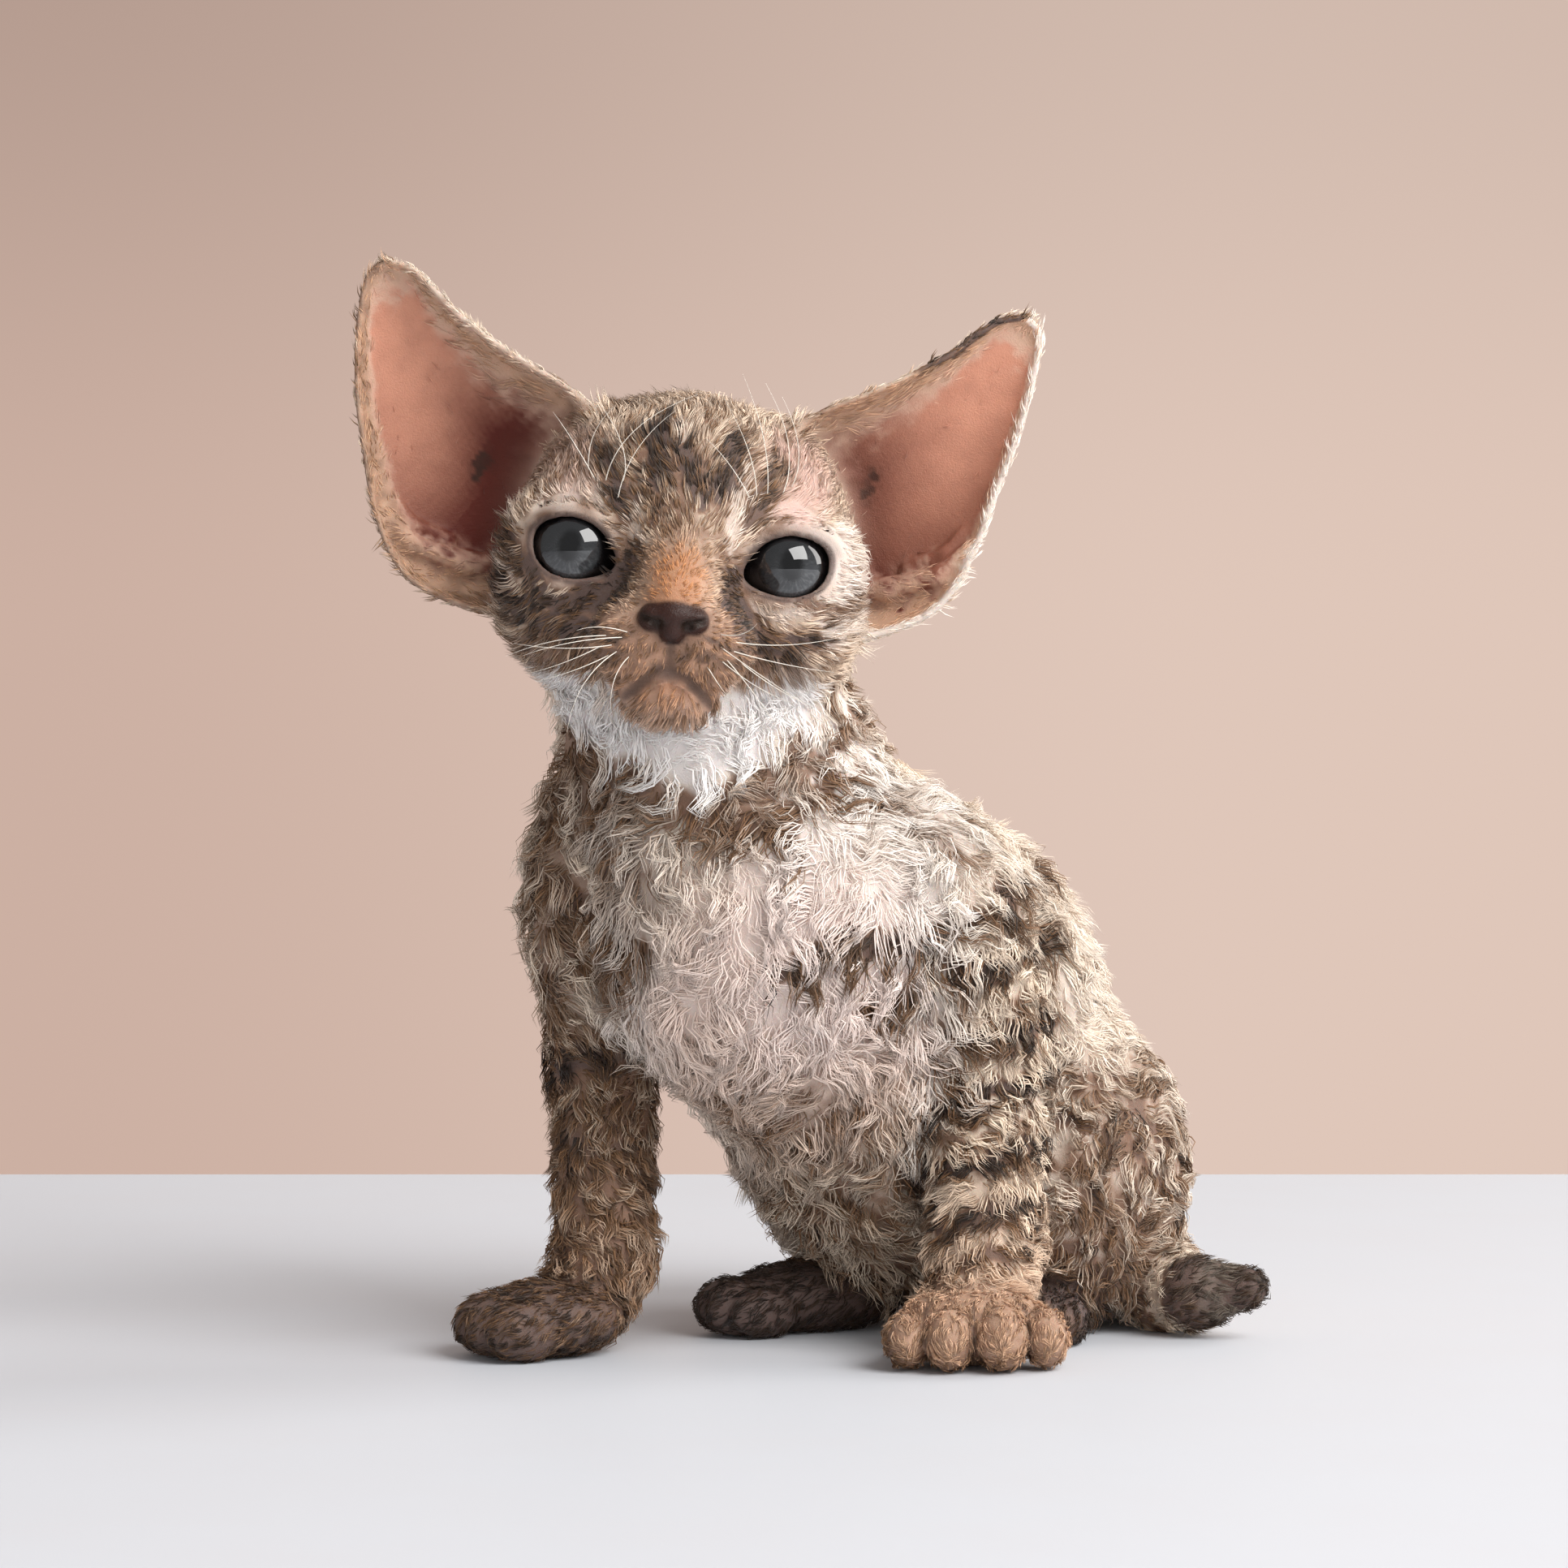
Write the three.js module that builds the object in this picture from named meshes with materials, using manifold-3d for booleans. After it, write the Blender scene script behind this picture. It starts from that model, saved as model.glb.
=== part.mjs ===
// A Devon Rex kitten of about six weeks, sitting, at life size. Millimetres, +Z up.
// The face looks along -Y, +X is the kitten's left, and what touches the floor is flat at Z = 0.
// Each part is blended from a few round forms, meshed, and parted from its neighbours by thin cuts.
// The curly coat stands on it as rounded clumps set close, and the face and feet are smooth.
import * as THREE from "three";
import { mergeVertices } from "three/addons/utils/BufferGeometryUtils.js";
import Module from "manifold-3d";

const wasm = await Module();
wasm.setup();
const { Manifold, Mesh: SolidMesh } = wasm;

// Driving dimensions
const GAP = 0.3; // between parts that touch
const EYE_RADIUS = 7.3;
const EYE_AT = { side: 15.9, back: -17 }; // middle of each eyeball, from the middle of the head
const EYE_OPENING = { width: 12.2, height: 10, tilt: 8, turn: 9 };
const LID_THICKNESS = 1.1;
const EAR_THICKNESS = { rim: 0.9, middle: 1.7 };
const EAR_DEPTH = 12.5; // of the cup at its root
const FORELEG_RADIUS = 8.8;
const TAIL_RADIUS = 6.4;
const MESH = { head: 3.6, neck: 8, trunk: 9, leg: 5, thigh: 7, tail: 4.4 };
// The curly coat: how far the skin under it lies inside its surface, and the half sizes of a clump
const COAT = 1.5;
const CURLS = {
  trunk: { length: 8.6, width: 7, height: 4.7, spacing: 12 },
  leg: { length: 6, width: 4.8, height: 3.6, spacing: 8.8 },
};

// The head stands on the neck and leans a little to the kitten's left
const HEAD_AT = [-15.8, -9, 125];
const HEAD_LEAN = 5;
// The body is turned away from the way that the face looks, and its frame is left, back and up
const BODY_AT = [22, 22, 0];
const BODY_TURN = 38;

const radians = THREE.MathUtils.degToRad;
const headFrame = new THREE.Matrix4()
  .makeRotationY(radians(HEAD_LEAN))
  .setPosition(...HEAD_AT);
const bodyFrame = new THREE.Matrix4()
  .makeRotationZ(radians(-BODY_TURN))
  .setPosition(...BODY_AT);
const world = new THREE.Matrix4();
const SIDES = { left: 1, right: -1 };

// Forms: functions of a point, negative inside and near the surface about the distance to it

function moved(frame, form) {
  const e = frame.clone().invert().elements;
  return (x, y, z) =>
    form(
      e[0] * x + e[4] * y + e[8] * z + e[12],
      e[1] * x + e[5] * y + e[9] * z + e[13],
      e[2] * x + e[6] * y + e[10] * z + e[14],
    );
}

function turned(at, turn) {
  return new THREE.Matrix4()
    .makeRotationFromEuler(new THREE.Euler(...turn.map(radians)))
    .setPosition(...at);
}

function ball(at, radii, turn = [0, 0, 0]) {
  const [a, b, c] = radii;
  return moved(turned(at, turn), (x, y, z) => {
    const near = Math.hypot(x / a, y / b, z / c);
    const slope = Math.hypot(x / (a * a), y / (b * b), z / (c * c));
    return slope < 1e-9 ? -Math.min(a, b, c) : (near * (near - 1)) / slope;
  });
}

function limb([from, fromRadius], [to, toRadius]) {
  const d = to.map((v, i) => v - from[i]);
  const length2 = d[0] * d[0] + d[1] * d[1] + d[2] * d[2];
  return (x, y, z) => {
    const px = x - from[0];
    const py = y - from[1];
    const pz = z - from[2];
    const along = (px * d[0] + py * d[1] + pz * d[2]) / length2;
    const t = Math.min(1, Math.max(0, along));
    const off = Math.hypot(px - d[0] * t, py - d[1] * t, pz - d[2] * t);
    return off - fromRadius - (toRadius - fromRadius) * t;
  };
}

// Limbs end to end, through stations that each hold a place and a radius
function chain(softness, ...stations) {
  const limbs = stations.slice(1).map((next, i) => limb(stations[i], next));
  return blend(softness, ...limbs);
}

function blend(softness, ...forms) {
  return (x, y, z) =>
    forms.reduce((sum, form) => {
      const next = form(x, y, z);
      const near = Math.max(softness - Math.abs(sum - next), 0);
      return Math.min(sum, next) - (near * near) / (4 * softness);
    }, 1e3);
}

const grown = (form, by) => (x, y, z) => form(x, y, z) - by;

function gradient(form, [x, y, z], step = 0.2) {
  return new THREE.Vector3(
    form(x + step, y, z) - form(x - step, y, z),
    form(x, y + step, z) - form(x, y - step, z),
    form(x, y, z + step) - form(x, y, z - step),
  ).normalize();
}

// Meshing

const CORNERS = [0, 1, 2, 3, 4, 5, 6, 7];
const CELL_EDGES = CORNERS.flatMap((a) =>
  [1, 2, 4].filter((bit) => !(a & bit)).map((bit) => [a, a | bit]),
);

// True when the corners of a cell on one side of the surface hang together along its edges
function together(corners) {
  const found = new Set(corners.slice(0, 1));
  for (const corner of found)
    for (const [a, b] of CELL_EDGES) {
      if (a === corner && corners.includes(b)) found.add(b);
      if (b === corner && corners.includes(a)) found.add(a);
    }
  return found.size === corners.length;
}

// The surface of a form inside a box, with one vertex in each grid cell that it crosses
function net(form, [low, high], cell) {
  const n = low.map((v, axis) => Math.ceil((high[axis] - v) / cell) + 3);
  const at = (i, axis) => low[axis] + (i - 1) * cell;
  const index = (i, j, k) => i + n[0] * (j + n[1] * k);
  const value = new Float32Array(n[0] * n[1] * n[2]);
  const middle = low.map((v, axis) => (v + high[axis]) / 2);
  const half = low.map((v, axis) => (high[axis] - v) / 2);
  const boxed = (x, y, z) =>
    Math.max(
      form(x, y, z),
      Math.abs(x - middle[0]) - half[0],
      Math.abs(y - middle[1]) - half[1],
      Math.abs(z - middle[2]) - half[2],
    );
  for (let k = 0; k < n[2]; k++)
    for (let j = 0; j < n[1]; j++)
      for (let i = 0; i < n[0]; i++)
        value[index(i, j, k)] = boxed(at(i, 0), at(j, 1), at(k, 2)) || 1e-6;

  const corner = (i, j, k, c) =>
    index(i + (c & 1), j + ((c >> 1) & 1), k + ((c >> 2) & 1));
  const eachCell = (visit) => {
    for (let k = 0; k < n[2] - 1; k++)
      for (let j = 0; j < n[1] - 1; j++)
        for (let i = 0; i < n[0] - 1; i++) visit(i, j, k);
  };
  // A cell where two sheets would meet is filled in, so that the mesh is one clean skin
  for (let again = true; again; ) {
    again = false;
    eachCell((i, j, k) => {
      const ids = CORNERS.map((c) => corner(i, j, k, c));
      const inside = CORNERS.filter((c) => value[ids[c]] < 0);
      if (inside.length === 0 || inside.length === 8) return;
      const outside = CORNERS.filter((c) => value[ids[c]] > 0);
      if (together(inside) && together(outside)) return;
      const nearest = outside.reduce((a, b) =>
        value[ids[a]] < value[ids[b]] ? a : b,
      );
      value[ids[nearest]] = -0.01;
      again = true;
    });
  }

  const positions = [];
  const vertexOf = new Map();
  const place = (c) => new THREE.Vector3(c & 1, (c >> 1) & 1, (c >> 2) & 1);
  eachCell((i, j, k) => {
    const sum = new THREE.Vector3();
    let crossings = 0;
    for (const [a, b] of CELL_EDGES) {
      const from = value[corner(i, j, k, a)];
      const to = value[corner(i, j, k, b)];
      if (from < 0 === to < 0) continue;
      sum.add(place(a).lerp(place(b), from / (from - to)));
      crossings++;
    }
    if (!crossings) return;
    sum.divideScalar(crossings);
    const p = [at(i + sum.x, 0), at(j + sum.y, 1), at(k + sum.z, 2)];
    const slope = gradient(boxed, p);
    const step = THREE.MathUtils.clamp(boxed(...p), -cell / 2, cell / 2);
    vertexOf.set(index(i, j, k), positions.length / 3);
    positions.push(...p.map((v, axis) => v - slope.getComponent(axis) * step));
  });

  const faces = [];
  const steps = [1, n[0], n[0] * n[1]];
  eachCell((i, j, k) => {
    if (Math.min(i, j, k) < 1) return;
    const here = index(i, j, k);
    const inside = value[here] < 0;
    for (let axis = 0; axis < 3; axis++) {
      if (inside === value[here + steps[axis]] < 0) continue;
      const [u, v] = [steps[(axis + 1) % 3], steps[(axis + 2) % 3]];
      const ring = [here - u - v, here - v, here, here - u];
      const [a, b, c, d] = ring.map((id) => vertexOf.get(id));
      if (inside) faces.push(a, b, c, a, c, d);
      else faces.push(a, c, b, a, d, c);
    }
  });
  return new THREE.BufferGeometry()
    .setAttribute("position", new THREE.Float32BufferAttribute(positions, 3))
    .setIndex(faces);
}

// Joining and cutting

function solidOf(geometry, frame = world) {
  const bare = new THREE.BufferGeometry().setAttribute(
    "position",
    geometry.getAttribute("position").clone(),
  );
  if (geometry.index) bare.setIndex(geometry.index.clone());
  const merged = mergeVertices(bare.applyMatrix4(frame), 1e-3);
  return new Manifold(
    new SolidMesh({
      numProp: 3,
      vertProperties: merged.attributes.position.array,
      triVerts: new Uint32Array(merged.index.array),
    }),
  );
}

const netSolid = (form, box, cell) => solidOf(net(form, box, cell));

function geometryOf(solid) {
  const mesh = solid.getMesh();
  return new THREE.BufferGeometry()
    .setAttribute(
      "position",
      new THREE.BufferAttribute(new Float32Array(mesh.vertProperties), 3),
    )
    .setIndex(new THREE.BufferAttribute(new Uint32Array(mesh.triVerts), 1));
}

function largest(solid) {
  return solid
    .decompose()
    .reduce((a, b) => (a.volume() > b.volume() ? a : b));
}

const REACH = 400; // of a cutting block, well past the whole kitten

// All on the near side of a plane whose normal points away from it, moved out by a distance
function behind([point, normal], by) {
  const out = new THREE.Vector3(...normal).normalize();
  const centre = new THREE.Vector3(...point).addScaledVector(
    out,
    by - REACH / 2,
  );
  const turn = new THREE.Quaternion().setFromUnitVectors(
    new THREE.Vector3(0, 0, 1),
    out,
  );
  const frame = new THREE.Matrix4()
    .makeRotationFromQuaternion(turn)
    .setPosition(centre);
  return solidOf(new THREE.BoxGeometry(REACH, REACH, REACH), frame);
}

// The room inside a few planes: taken in by half the gap for its own part, and let out by as
// much where it is cut from the parts beside it
function room(...planes) {
  const within = (by) =>
    planes.map((plane) => behind(plane, by)).reduce((a, b) => a.intersect(b));
  return { own: within(-GAP / 2), cut: within(GAP / 2) };
}

const joined = (a, b) => ({ own: a.own.add(b.own), cut: a.cut.add(b.cut) });

const inBody = ([point, normal]) => [
  new THREE.Vector3(...point).applyMatrix4(bodyFrame).toArray(),
  new THREE.Vector3(...normal).transformDirection(bodyFrame).toArray(),
];

const underFloor = behind([[0, 0, 0], [0, 0, 1]], 0);

function ellipsoid(at, radii, { turn = [0, 0, 0], frame = world, around = 7, up = 5 } = {}) {
  const matrix = turned(at, turn).scale(new THREE.Vector3(...radii));
  return solidOf(
    new THREE.SphereGeometry(1, around, up),
    matrix.premultiply(frame),
  );
}

// A thin cord with few sides along a smooth curve
function cord(points, radius, steps, sides = 6) {
  const rim = Array.from({ length: sides }, (_, i) =>
    new THREE.Vector2(radius, 0).rotateAround(
      new THREE.Vector2(),
      (i / sides) * 2 * Math.PI,
    ),
  );
  const curve = new THREE.CatmullRomCurve3(points);
  return new THREE.ExtrudeGeometry(new THREE.Shape(rim), {
    steps,
    extrudePath: curve,
    bevelEnabled: false,
  });
}

// The coat's clumps

function seeded(seed) {
  let state = seed;
  return () => {
    state = (state * 1664525 + 1013904223) % 4294967296;
    return state / 4294967296;
  };
}

// Places spread evenly over a form, no two nearer than the spacing
function scatter(form, box, spacing, seed, allowed) {
  const position = net(form, box, spacing / 3).attributes.position;
  const random = seeded(seed);
  const order = Array.from({ length: position.count }, (_, i) => i);
  for (let i = order.length - 1; i > 0; i--) {
    const j = Math.floor(random() * (i + 1));
    [order[i], order[j]] = [order[j], order[i]];
  }
  const taken = [];
  for (const i of order) {
    const p = new THREE.Vector3().fromBufferAttribute(position, i);
    if (!allowed(p)) continue;
    if (taken.every((q) => q.distanceTo(p) > spacing)) taken.push(p);
  }
  return taken;
}

const CLUMP_SHAPE = new THREE.IcosahedronGeometry(1, 0);
const CLUMP_ROOT = 0.8; // of its height, how far the middle of a clump is sunk
const CLUMP_STRAY = 1.6; // radians, the spread of the way that the clumps lie
const CLUMP_RISE = 0.1; // the most that a clump's free end stands up, of its length

// A rounded clump on each place, lying along the coat with its free end a little proud
function clumps(form, places, lie, size, seed) {
  const random = seeded(seed);
  return places.map((p) => {
    const out = gradient(form, p.toArray());
    const along = new THREE.Vector3(...lie)
      .addScaledVector(out, -out.dot(new THREE.Vector3(...lie)))
      .normalize()
      .applyAxisAngle(out, (random() - 0.5) * CLUMP_STRAY)
      .addScaledVector(out, random() * CLUMP_RISE)
      .normalize();
    const across = new THREE.Vector3().crossVectors(out, along).normalize();
    const up = new THREE.Vector3().crossVectors(along, across);
    const scale = 0.85 + 0.3 * random();
    const frame = new THREE.Matrix4()
      .makeBasis(
        along.multiplyScalar(size.length * scale),
        up.multiplyScalar(size.height * scale),
        across.multiplyScalar(-size.width * scale),
      )
      .setPosition(p.addScaledVector(out, -size.height * CLUMP_ROOT));
    return solidOf(CLUMP_SHAPE, frame);
  });
}

// Trunk and limbs

const trunk = moved(
  bodyFrame,
  blend(
    14,
    ball([-2, -40, 68], [26, 24, 28]),
    ball([0, -18, 53], [28, 31, 27], [-40, 0, 0]),
    ball([-2, 4, 36], [31, 31, 31]),
    ball([1, -2, 57], [27, 29, 27]),
    ball([0, 26, 25], [26, 25, 25.6]),
  ),
);
const shoulders = blend(
  6,
  ball([-30, 1, 72], [11.5, 14, 22]),
  ball([25, -4, 67], [13, 15, 20]),
);
const neck = limb([[-6, 3, 82], 26.5], [[-15, -4, 107], 22.5]);
const thighs = moved(
  bodyFrame,
  blend(
    4,
    ball([23.6, 14, 27], [13.6, 22, 25], [25, 0, 0]),
    ball([-22, 14, 27], [13.6, 22, 25], [25, 0, 0]),
  ),
);
const leftForeleg = chain(
  3,
  [[28, -3, 64], FORELEG_RADIUS + 3],
  [[32, 1, 44], FORELEG_RADIUS + 1.9],
  [[31.5, -9, 16], FORELEG_RADIUS + 0.3],
  [[30, -15, 9], FORELEG_RADIUS - 1],
);
const rightForeleg = chain(
  3,
  [[-30, 2, 62], FORELEG_RADIUS + 1.5],
  [[-28.8, 5, 44], FORELEG_RADIUS],
  [[-28.4, -2, 15], FORELEG_RADIUS - 0.4],
  [[-31, -5, 8.5], FORELEG_RADIUS - 1.6],
);
const body = blend(
  6,
  blend(9, trunk, neck, shoulders),
  thighs,
  leftForeleg,
  rightForeleg,
);
const tail = chain(
  4,
  [[45, 51, 17], TAIL_RADIUS + 1.6],
  [[55, 58, 11], TAIL_RADIUS + 1.2],
  [[61.5, 48, 7.2], TAIL_RADIUS + 0.6],
  [[62.5, 34, 6.5], TAIL_RADIUS + 0.3],
  [[62, 21.5, 6.2], TAIL_RADIUS],
  [[66, 13.5, 7], TAIL_RADIUS - 0.8],
  [[74, 8.5, 8.4], TAIL_RADIUS - 2.4],
);

// Feet: a pad with its middle, heading and size, and toes as [across, along, width, height]
const FEET = {
  foreleg_left: {
    at: [29.5, -20, 6],
    heading: 0,
    pad: [12.5, 11, 6.6],
    toes: [
      [-10.6, 6, 4.1, 4.6],
      [-4.2, 9.2, 4.2, 5.2],
      [4, 9, 4.7, 5.4],
      [11, 5.6, 4, 5],
    ],
  },
  foreleg_right: {
    at: [-36.5, -9, 6],
    heading: -68,
    pad: [10.5, 12, 6.4],
    toes: [
      [-7.6, 7, 3.9, 5],
      [-2.8, 9, 4, 5.4],
      [2.8, 9, 4, 5.4],
      [7.6, 7, 3.9, 5],
    ],
  },
  hindleg_left: {
    at: [43, 17, 5.6],
    heading: -12,
    pad: [8, 17, 6],
    toes: [
      [-5.5, 13, 3.4, 4.2],
      [-1.9, 15.5, 3.5, 4.6],
      [1.9, 15.5, 3.5, 4.6],
      [5.5, 13, 3.4, 4.2],
    ],
  },
  hindleg_right: {
    at: [5.5, 22, 5.8],
    heading: -60,
    pad: [8, 17, 6.4],
    toes: [
      [-5.5, 13, 3.4, 4.2],
      [-1.9, 15.5, 3.6, 5],
      [1.9, 15.5, 3.6, 5],
      [5.5, 13, 3.4, 4.4],
    ],
  },
};
const TOE_LENGTH = 6.5;

function footFrame({ at, heading }) {
  return new THREE.Matrix4().makeRotationZ(radians(heading)).setPosition(...at);
}

const feet = Object.values(FEET).map((foot) =>
  moved(footFrame(foot), ball([0, 0, 0], foot.pad)),
);

function toes(foot) {
  return foot.toes.map(([across, along, width, height]) => {
    const at = [across, -along, height - foot.at[2] - 0.2];
    return ellipsoid(at, [width, TOE_LENGTH, height], { frame: footFrame(foot) });
  });
}

// Head, in a frame of its own whose middle lies between the eyes

const pair = (make) => Object.values(SIDES).map(make);
const skull = blend(
  5,
  ball([0, 3, 3], [26, 29, 24]),
  ball([0, -26, -12], [12, 11, 9.5]),
  ball([0, -29, -21], [7.5, 6, 5]),
  limb([[0, -20, 3], 8], [[0, -35, -6.5], 4.4]),
  ...pair((side) => ball([side * 15, -5, -8], [13, 17, 13])),
  ...pair((side) => ball([side * 15.4, -12.6, 1], [12, 10.6, 10.6])),
);
const whiskerPads = blend(
  1.5,
  ...pair((side) => ball([side * 5.8, -31, -13], [6.8, 6.8, 5.8])),
);
const headForm = blend(3, skull, whiskerPads);
const head = moved(headFrame, headForm);
const kittenForm = blend(4, blend(6, body, head), ...feet);

// The point of the face that shows at a place seen from the front
function onFace(x, z) {
  let y = -60;
  for (let step = 0; step < 40; step++) y += headForm(x, y, z) * 0.8;
  return new THREE.Vector3(x, y, z);
}

function almond({ width, height }) {
  const rim = Array.from({ length: 14 }, (_, i) => {
    const turn = (i / 14) * 2 * Math.PI;
    const lift = Math.sin(turn) * Math.pow(Math.abs(Math.sin(turn)), 0.2);
    return new THREE.Vector2(
      (Math.cos(turn) * width) / 2,
      (lift * height) / 2,
    );
  });
  return new THREE.ExtrudeGeometry(new THREE.Shape(rim), {
    depth: 2 * EYE_RADIUS,
    bevelEnabled: false,
  });
}

// Right, up and forward of each eye
function eyeFrame(side) {
  const { turn, tilt } = EYE_OPENING;
  return headFrame
    .clone()
    .multiply(new THREE.Matrix4().makeTranslation(side * EYE_AT.side, EYE_AT.back, 0))
    .multiply(new THREE.Matrix4().makeRotationZ(radians(turn * side)))
    .multiply(new THREE.Matrix4().makeRotationX(Math.PI / 2))
    .multiply(new THREE.Matrix4().makeRotationZ(radians(tilt * side)));
}

const eyeBall = (side, radius) =>
  ellipsoid([0, 0, 0], [radius, radius, radius], {
    frame: eyeFrame(side),
    around: 14,
    up: 8,
  });

const MOUTH = [
  [-8.8, -22.6],
  [-5.6, -20.2],
  [-2.6, -18.2],
  [0, -17.3],
  [2.6, -18.2],
  [5.6, -20.2],
  [8.8, -22.6],
];
const LIP = MOUTH.slice(1, -1).map(([x, z]) => [x, z - 1.6]);
const PHILTRUM = [
  [0, -11],
  [0, -14.5],
  [0, -17.3],
];

function faceCord(points, radius, steps) {
  const line = points.map(([x, z]) => onFace(x, z));
  return solidOf(cord(line, radius, steps), headFrame);
}

function faceOf(solid) {
  const nose = ellipsoid([0, -37.6, -8.6], [5, 3, 3.4], { frame: headFrame });
  const nostrils = pair((side) =>
    ellipsoid([side * 2.8, -40.2, -9.4], [1.4, 1.7, 0.9], {
      frame: headFrame,
      turn: [0, side * 25, 0],
      up: 4,
    }),
  );
  const lids = pair((side) => eyeBall(side, EYE_RADIUS + LID_THICKNESS));
  const added = [nose, ...lids, faceCord(LIP, 0.9, 8)];
  const taken = [
    ...nostrils,
    ...pair((side) => eyeBall(side, EYE_RADIUS + GAP)),
    ...pair((side) => solidOf(almond(EYE_OPENING), eyeFrame(side))),
    faceCord(MOUTH, 0.75, 10),
    faceCord(PHILTRUM, 0.6, 3),
  ];
  return Manifold.union([solid, ...added]).subtract(Manifold.union(taken));
}

// Ears: a cup between an inner and an outer edge that meet at the tip

const EAR_INNER = [
  [13, -3, 19],
  [19.5, -3.5, 24.5],
  [26.5, -4, 28],
  [33, -4, 31.5],
  [39, -3, 35.5],
  [43.5, -2, 39.5],
  [46.5, -1, 41.5],
  [50, 0, 42.2],
];
const EAR_OUTER = [
  [22, 3, -11],
  [33, 3, -9.5],
  [42, 2, -5],
  [47, 1.5, 4],
  [49.6, 1.5, 13.5],
  [51.8, 1, 22.5],
  [53, 1, 33],
  [52.6, 1, 40],
  [50, 0, 42.2],
];
const EAR_SPREAD = { left: [-1.6, 1.6], right: [1.4, -1.4] }; // outward and up, at its widest
const EAR_FACING = [0.25, -0.93, 0.15];
const EAR_ROWS = 10;
const EAR_COLUMNS = 8;

function ear(name) {
  const side = SIDES[name];
  const curve = (points) =>
    new THREE.CatmullRomCurve3(
      points.map(([x, y, z]) => new THREE.Vector3(x * side, y, z)),
      false,
      "catmullrom",
    );
  const inner = curve(EAR_INNER);
  const outer = curve(EAR_OUTER);
  const [x, y, z] = EAR_FACING;
  const facing = new THREE.Vector3(x * side, y, z).normalize();
  const [outward, up] = EAR_SPREAD[name];
  const spread = new THREE.Vector3(outward * side, 0, up);
  // Across the ear from its inner edge at turn 0 to its outer edge at half a turn
  const cup = (t, turn) => {
    const a = inner.getPointAt(t);
    const b = outer.getPointAt(t).addScaledVector(spread, Math.sin(t * Math.PI));
    const half = b.clone().sub(a).multiplyScalar(0.5);
    const depth = EAR_DEPTH * Math.pow(1 - t, 0.7);
    return a
      .add(half)
      .addScaledVector(half, -Math.cos(turn))
      .addScaledVector(facing, -depth * Math.sin(turn));
  };
  const rows = Array.from({ length: EAR_ROWS + 1 }, (_, row) => {
    const t = Math.min(row / EAR_ROWS, 0.985);
    return Array.from({ length: EAR_COLUMNS + 1 }, (_, column) => {
      const turn = (column / EAR_COLUMNS) * Math.PI;
      const across = cup(t, turn + 0.01).sub(cup(t, turn - 0.01));
      const along = cup(Math.min(t + 0.01, 0.99), turn).sub(
        cup(Math.max(t - 0.01, 0), turn),
      );
      const out = across.cross(along).normalize().multiplyScalar(-side);
      const { rim, middle } = EAR_THICKNESS;
      const half = (rim + (middle - rim) * Math.sin(turn)) / 2;
      return { at: cup(t, turn), out: out.multiplyScalar(half) };
    });
  }).flat();
  const positions = [-1, 1].flatMap((sheet) =>
    rows.flatMap(({ at, out }) => at.clone().addScaledVector(out, sheet).toArray()),
  );

  const wide = EAR_COLUMNS + 1;
  const back = rows.length;
  const faces = [];
  const quad = (a, b, c, d) => {
    if (side > 0) faces.push(a, b, c, a, c, d);
    else faces.push(a, c, b, a, d, c);
  };
  for (let row = 0; row < EAR_ROWS; row++) {
    for (let column = 0; column < EAR_COLUMNS; column++) {
      const a = row * wide + column;
      quad(a, a + 1, a + 1 + wide, a + wide);
      quad(back + a, back + a + wide, back + a + 1 + wide, back + a + 1);
    }
    const near = row * wide;
    const far = near + EAR_COLUMNS;
    quad(near, near + wide, back + near + wide, back + near);
    quad(far, back + far, back + far + wide, far + wide);
  }
  for (let column = 0; column < EAR_COLUMNS; column++) {
    const last = EAR_ROWS * wide + column;
    quad(column, back + column, back + column + 1, column + 1);
    quad(last, last + 1, back + last + 1, back + last);
  }
  const geometry = new THREE.BufferGeometry()
    .setAttribute("position", new THREE.Float32BufferAttribute(positions, 3))
    .setIndex(faces);
  return solidOf(geometry, headFrame);
}

// Where the parts meet

const flip = ([point, normal]) => [point, normal.map((v) => -v)];
const NECK_CUT = [
  [-13, -4, 106.5],
  [0, -0.42, 0.9],
];
const SHOULDER_CUT = [
  [-5, 2, 89],
  [-0.1, -0.15, 0.98],
];
const THIGH_INSIDE = 14;
const FOOT_INSIDE = { left: 8, right: 3 };
const FOOT_TOP = 13.3;

function hindRoom(name) {
  const side = SIDES[name];
  const thigh = room(
    inBody([[side * THIGH_INSIDE, 0, 0], [-side, 0, 0]]),
    inBody([[0, -11.5, 0], [0, -0.97, 0.24]]),
    inBody([[0, 36, 0], [0, 1, 0]]),
    inBody([[0, 14, 54], [0, 0, 1]]),
  );
  const foot = room(
    inBody([[side * FOOT_INSIDE[name], 0, 0], [-side, 0, 0]]),
    inBody([[0, 16, 0], [0, 1, 0]]),
    inBody([[0, 0, FOOT_TOP], [0, 0, 1]]),
  );
  return joined(thigh, foot);
}

const rooms = {
  head: room(flip(NECK_CUT)),
  neck: room(NECK_CUT, flip(SHOULDER_CUT)),
  foreleg_left: joined(
    room(
      [[32, 5, 47], [0, 0, 1]],
      [[31, 11, 46], [0, 0.925, -0.38]],
      [[20.5, 0, 0], [-1, 0, 0]],
      [[45, 0, 0], [1, 0, 0]],
    ),
    room([[0, 0, 14], [0, 0, 1]], [[0, -6.5, 0], [0, 1, 0]], [[10, 0, 0], [-1, 0, 0]]),
  ),
  foreleg_right: room(
    [[-28, 5, 45], [0, 0, 1]],
    [[-29, 14, 45], [0, 0.97, -0.22]],
    [[-17, 0, 0], [1, 0, 0]],
  ),
  hindleg_left: hindRoom("left"),
  hindleg_right: hindRoom("right"),
};

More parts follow.
